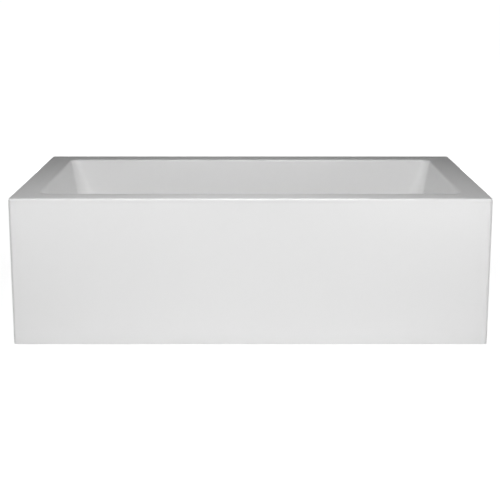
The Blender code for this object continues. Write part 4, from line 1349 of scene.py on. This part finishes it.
class BATHTUB_OT_overflow(bpy.types.Operator):
    """Overflow cover, threaded insert, gasket, elbow and corrugated hose"""

    bl_idname = "bathtub.overflow"
    bl_label = "Overflow"

    def execute(self, context):
        placed = overflow_place()
        outline = [(0.033, GAP), (0.033, 0.0018), (0.032, 0.003), (0.0205, 0.003), (0.0205, -0.019)]
        outline += [(SPIGOT_R, -0.019), (SPIGOT_R, GAP)]
        mesh = turned("overflow_insert", rounded(outline, 0.0006), 96)
        insert = add("overflow_insert_chrome", mesh, polished_chrome(), **placed)
        fitted(insert, "tub", "chrome", "overflow_insert")

        self.cover(placed)

        front = -sizes().shell - GAP
        rear = front - 0.004
        outline = [(0.027, rear), (0.036, rear), (0.036, front), (0.027, front)]
        mesh = turned("overflow_gasket", rounded(outline, 0.0008))
        gasket = add("overflow_gasket_rubber", mesh, moulded_rubber(), **placed)
        fitted(gasket, "tub", "rubber", "overflow_gasket")

        self.elbow(placed, rear - GAP)
        self.hose()
        return {"FINISHED"}

    def cover(self, placed):
        """Round cover with softened edge and a water inlet cut in its lowest side."""
        face, wall = 0.0150, 0.0036
        outline = [(0, face)]
        for i in range(1, 7):
            share = i / 6
            outline.append((0.0330 * share, face - 0.0006 * share**2))
        outline += [(0.0360, face - 0.0030), (0.0360, wall), (0.0342, wall), (0.0342, face - 0.0034)]
        outline += [(0, face - 0.0034)]
        mesh = turned("overflow_cover", rounded(outline, 0.0010, 4), 96)
        cover = add("overflow_cover_chrome", mesh, polished_chrome(), **placed)
        upright = Matrix.Translation(placed["location"]) @ Matrix.Rotation(placed["rotation"][0], 4, "X")
        legs = []
        for i in range(3):
            leg = add("leg", bar((0.0168, -0.003, -0.008), (0.0190, 0.003, face - 0.0020)))
            leg.matrix_world = upright @ Matrix.Rotation(math.pi / 2 + 2 * math.pi * (i + 0.5) / 3, 4, "Z")
            legs.append(leg)
        unite(cover, legs)
        slot = add("slot", bar((-0.018, 0.020, wall - 0.003), (0.018, 0.040, face - 0.0045)), **placed)
        cut(cover, [slot])
        fitted(cover, "tub", "chrome", "overflow_cover")

    def elbow(self, placed, face):
        """Moulded cup behind the wall with a spigot down to the hose."""
        rear = -0.049
        outline = [(0.036, face), (0.036, face - 0.004), (0.0285, face - 0.006), (0.0285, rear + 0.003)]
        outline += [(0.0255, rear), (0, rear), (0, rear + 0.003), (0.0255, rear + 0.003), (0.0255, -0.022)]
        outline += [(0.0240, -0.021), (0.0240, face)]
        mesh = turned("overflow_elbow", rounded(outline, 0.0012), 96)
        elbow = add("overflow_elbow_moulded", mesh, moulded_plastic(), **placed)
        top = HOSE_ROUTE[0]
        spigot = [circle(0.0090, -0.024, 48)] + [circle(HOSE_SPIGOT_R, z, 48) for z in (-0.022, 0.0145)]
        unite(elbow, [add("spigot", lofted("spigot", spigot), location=top)])
        cut(elbow, [rod(HOSE_SPIGOT_BORE_R, -0.030, 0.030, location=top)])
        fitted(elbow, "tub", "black_plastic", "overflow_elbow")

    def hose(self):
        """Corrugated hose with plain cuffs, and a ribbed nut over each cuff."""
        spacing = 0.0008
        path = even_points(HOSE_ROUTE, spacing)
        length = spacing * (len(path) - 1)
        outer, groove, pitch, cuff = 0.0135, 0.0016, 0.0048, 0.024

        def radius_at(s):
            inside = min(1.0, max(0.0, (min(s, length - s) - cuff) / 0.002))
            return outer - 0.0004 - groove * inside * (0.5 - 0.5 * math.cos(2 * math.pi * s / pitch))

        hose = add("overflow_hose_corrugated", swept("overflow_hose", path, radius_at, 24), grey_hose())
        fitted(hose, "tub", "grey_hose", "overflow_hose")
        bore = outer + 0.0004
        outline = [(bore, -0.020), (0.0190, -0.020), (0.0200, -0.018), (0.0200, -0.001), (0.0190, 0.001)]
        outline += [(bore, 0.001)]
        for end, at, tilt in (("top", path[0], 0.0), ("bottom", path[-1], -math.pi / 2)):
            mesh = ribbed("hose_nut", rounded(outline, 0.0008), 16, 0.0011, 0.0188)
            nut = add(f"hose_nut_{end}_ribbed", mesh, moulded_plastic(), location=at, rotation=(tilt, 0, 0))
            fitted(nut, "tub", "black_plastic", f"hose_nut_{end}")


# ---------------------------------------------------------------- studio
LIGHTS = {
    # name: (place, aimed at, width, height, power); the low ones stay below the deck
    "key": ((0.0, -5.0, 3.2), (0.0, 0.0, 0.35), 2.0, 1.2, 85.6),
    "key_right": ((0.6, -2.6, 2.12), (0.0, 0.0, 0.35), 1.0, 1.1, 13.8),
    "deck": ((0.0, -0.45, 1.6), (0.0, -0.38, 0.5), 1.2, 0.2, 6.4),
    "deck_left": ((-1.0, -1.3, 1.6), (-0.6, -0.3, 0.5), 1.2, 0.5, 2.8),
    "front_left": ((-1.2, -3.0, 0.27), (-0.5, 0.0, 0.27), 1.0, 0.5, 5.7),
    "front_right": ((1.2, -3.0, 0.27), (0.5, 0.0, 0.27), 1.0, 0.5, 9.1),
    "side_right": ((2.4, -2.6, 0.8), (0.6, 0.0, 0.3), 1.0, 0.8, 2.6),
    "end_left": ((-4.4, 2.6, 0.27), (-0.8, 0.1, 0.27), 1.6, 0.5, 115.0),
    "end_right": ((4.4, 2.6, 0.27), (0.8, 0.1, 0.27), 1.6, 0.5, 115.0),
    "back": ((0.0, 3.2, 0.27), (0.0, 0.0, 0.27), 3.0, 0.5, 23.0),
}
CAMERA_PLACE = (-0.0017, -4.2329, 1.2886)
CAMERA_PITCH = math.radians(11.467)
CAMERA_SHIFT = -0.1


class BATHTUB_OT_studio(bpy.types.Operator):
    """Pale floor, soft lights, white backdrop and camera"""

    bl_idname = "bathtub.studio"
    bl_label = "Studio"

    def execute(self, context):
        self.floor()
        for name, (at, target, width, height, power) in LIGHTS.items():
            self.light(name, at, target, width, height, power)
        self.backdrop()
        self.camera()
        view = context.scene.view_settings
        view.view_transform = "Standard"
        view.look = "None"
        view.exposure, view.gamma = 0.0, 1.0
        return {"FINISHED"}

    def floor(self):
        """A wide disc, in rings so that its nearest faces stay small."""
        bm = bmesh.new()
        loops = [[bm.verts.new(point) for point in circle(radius)] for radius in (0.02, 2.0, 8.0, 30.0, 90.0)]
        bm.faces.new(loops[0])
        for inner, outer in zip(loops, loops[1:]):
            for i in range(len(inner)):
                j = (i + 1) % len(inner)
                bm.faces.new((inner[i], inner[j], outer[j], outer[i]))
        floor = add("studio_floor", finished(bm, "studio_floor"), self.floor_paint())
        if floor.data.polygons[0].normal.z < 0:
            floor.data.flip_normals()

    def floor_paint(self):
        """Pale floor, lifted towards white where the camera sees it, and wholly white far from the tub."""
        rgb = studio().floor
        finish = Finish("studio_floor", rgb, 0.8)
        tone = finish.effect(tone_drift(), Tone=paint(rgb), Second_Tone=paint(rgb, 0.985), Scale=3.0)
        seen = place(finish.tree, "LightPath").outputs["Is Camera Ray"]
        finish.colour(mixed_colour(finish.tree, seen, tone.outputs["Colour"], paint(rgb, 0.5)))
        at, away = place(finish.tree, "TexCoord"), place(finish.tree, "VectorMath", operation="LENGTH")
        lift = place(finish.tree, "MapRange", From_Min=1.0, From_Max=3.5, To_Min=studio().glow)
        glow = place(finish.tree, "Math", operation="MULTIPLY")
        finish.tree.links.new(at.outputs["Object"], away.inputs[0])
        finish.tree.links.new(away.outputs["Value"], lift.inputs["Value"])
        finish.tree.links.new(lift.outputs[0], glow.inputs[0])
        finish.tree.links.new(seen, glow.inputs[1])
        finish.tree.links.new(glow.outputs[0], finish.shader.inputs["Emission Strength"])
        finish.shader.inputs["Emission Color"].default_value = (1, 1, 1, 1)
        finish.shader.inputs["Specular IOR Level"].default_value = 0.0
        return finish.material

    def light(self, name, at, target, width, height, power):
        """A soft box that lights the scene and stays out of view."""
        data = bpy.data.lights.new(name, "AREA")
        data.shape = "RECTANGLE"
        data.size, data.size_y, data.energy = width, height, power
        lamp = bpy.data.objects.new(f"light_{name}", data)
        lamp.location = at
        lamp.rotation_euler = (Vector(target) - Vector(at)).to_track_quat("-Z", "Y").to_euler()
        lamp.visible_camera = False
        bpy.context.scene.collection.objects.link(lamp)

    def backdrop(self):
        """White where the camera looks past the floor, and a dimmer grey in everything else."""
        world = bpy.data.worlds.new("studio")
        bpy.context.scene.world = world
        world.use_nodes = True
        tree = world.node_tree
        tree.nodes.clear()
        seen, mirrored = place(tree, "Background"), place(tree, "Background")
        seen.inputs["Color"].default_value = (1, 1, 1, 1)
        mirrored.inputs["Strength"].default_value = studio().backdrop
        ray, mix, out = place(tree, "LightPath"), place(tree, "MixShader"), place(tree, "OutputWorld")
        tree.links.new(ray.outputs["Is Camera Ray"], mix.inputs[0])
        tree.links.new(mirrored.outputs[0], mix.inputs[1])
        tree.links.new(seen.outputs[0], mix.inputs[2])
        tree.links.new(mix.outputs[0], out.inputs["Surface"])

    def camera(self):
        data = bpy.data.cameras.new("camera")
        data.sensor_width = 36.0
        data.lens = studio().lens
        data.shift_y = CAMERA_SHIFT
        data.clip_start, data.clip_end = 0.05, 100.0
        camera = bpy.data.objects.new("camera", data)
        camera.location = CAMERA_PLACE
        camera.rotation_euler = (math.pi / 2 - CAMERA_PITCH, 0, 0)
        bpy.context.scene.collection.objects.link(camera)
        bpy.context.scene.camera = camera


# ---------------------------------------------------------------- add-on
MAKERS = (
    BATHTUB_OT_shell,
    BATHTUB_OT_skirt,
    BATHTUB_OT_timber,
    BATHTUB_OT_frame,
    BATHTUB_OT_feet,
    BATHTUB_OT_waste,
    BATHTUB_OT_plug,
    BATHTUB_OT_overflow,
    BATHTUB_OT_studio,
)


class BATHTUB_PT_panel(bpy.types.Panel):
    """Buttons for each part of the tub, and the values they use"""

    bl_idname = "BATHTUB_PT_panel"
    bl_label = "Bathtub"
    bl_space_type = "VIEW_3D"
    bl_region_type = "UI"
    bl_category = "Bathtub"

    def draw(self, context):
        column = self.layout.column()
        for maker in MAKERS:
            column.operator(maker.bl_idname)
        for group in (sizes(), finishes(), studio()):
            box = self.layout.box()
            for name in group.__annotations__:
                box.prop(group, name)


CLASSES = (BathtubSizes, BathtubFinishes, BathtubStudio, *MAKERS, BATHTUB_PT_panel)


def register():
    for cls in CLASSES:
        bpy.utils.register_class(cls)
    bpy.types.Scene.bathtub_sizes = PointerProperty(type=BathtubSizes)
    bpy.types.Scene.bathtub_finishes = PointerProperty(type=BathtubFinishes)
    bpy.types.Scene.bathtub_studio = PointerProperty(type=BathtubStudio)


def unregister():
    del bpy.types.Scene.bathtub_studio
    del bpy.types.Scene.bathtub_finishes
    del bpy.types.Scene.bathtub_sizes
    for cls in reversed(CLASSES):
        bpy.utils.unregister_class(cls)


def main():
    register()
    bpy.ops.bathtub.shell()
    bpy.ops.bathtub.skirt()
    bpy.ops.bathtub.timber()
    bpy.ops.bathtub.frame()
    bpy.ops.bathtub.feet()
    bpy.ops.bathtub.waste()
    bpy.ops.bathtub.plug()
    bpy.ops.bathtub.overflow()
    bpy.ops.bathtub.studio()


if __name__ == "__main__":
    main()
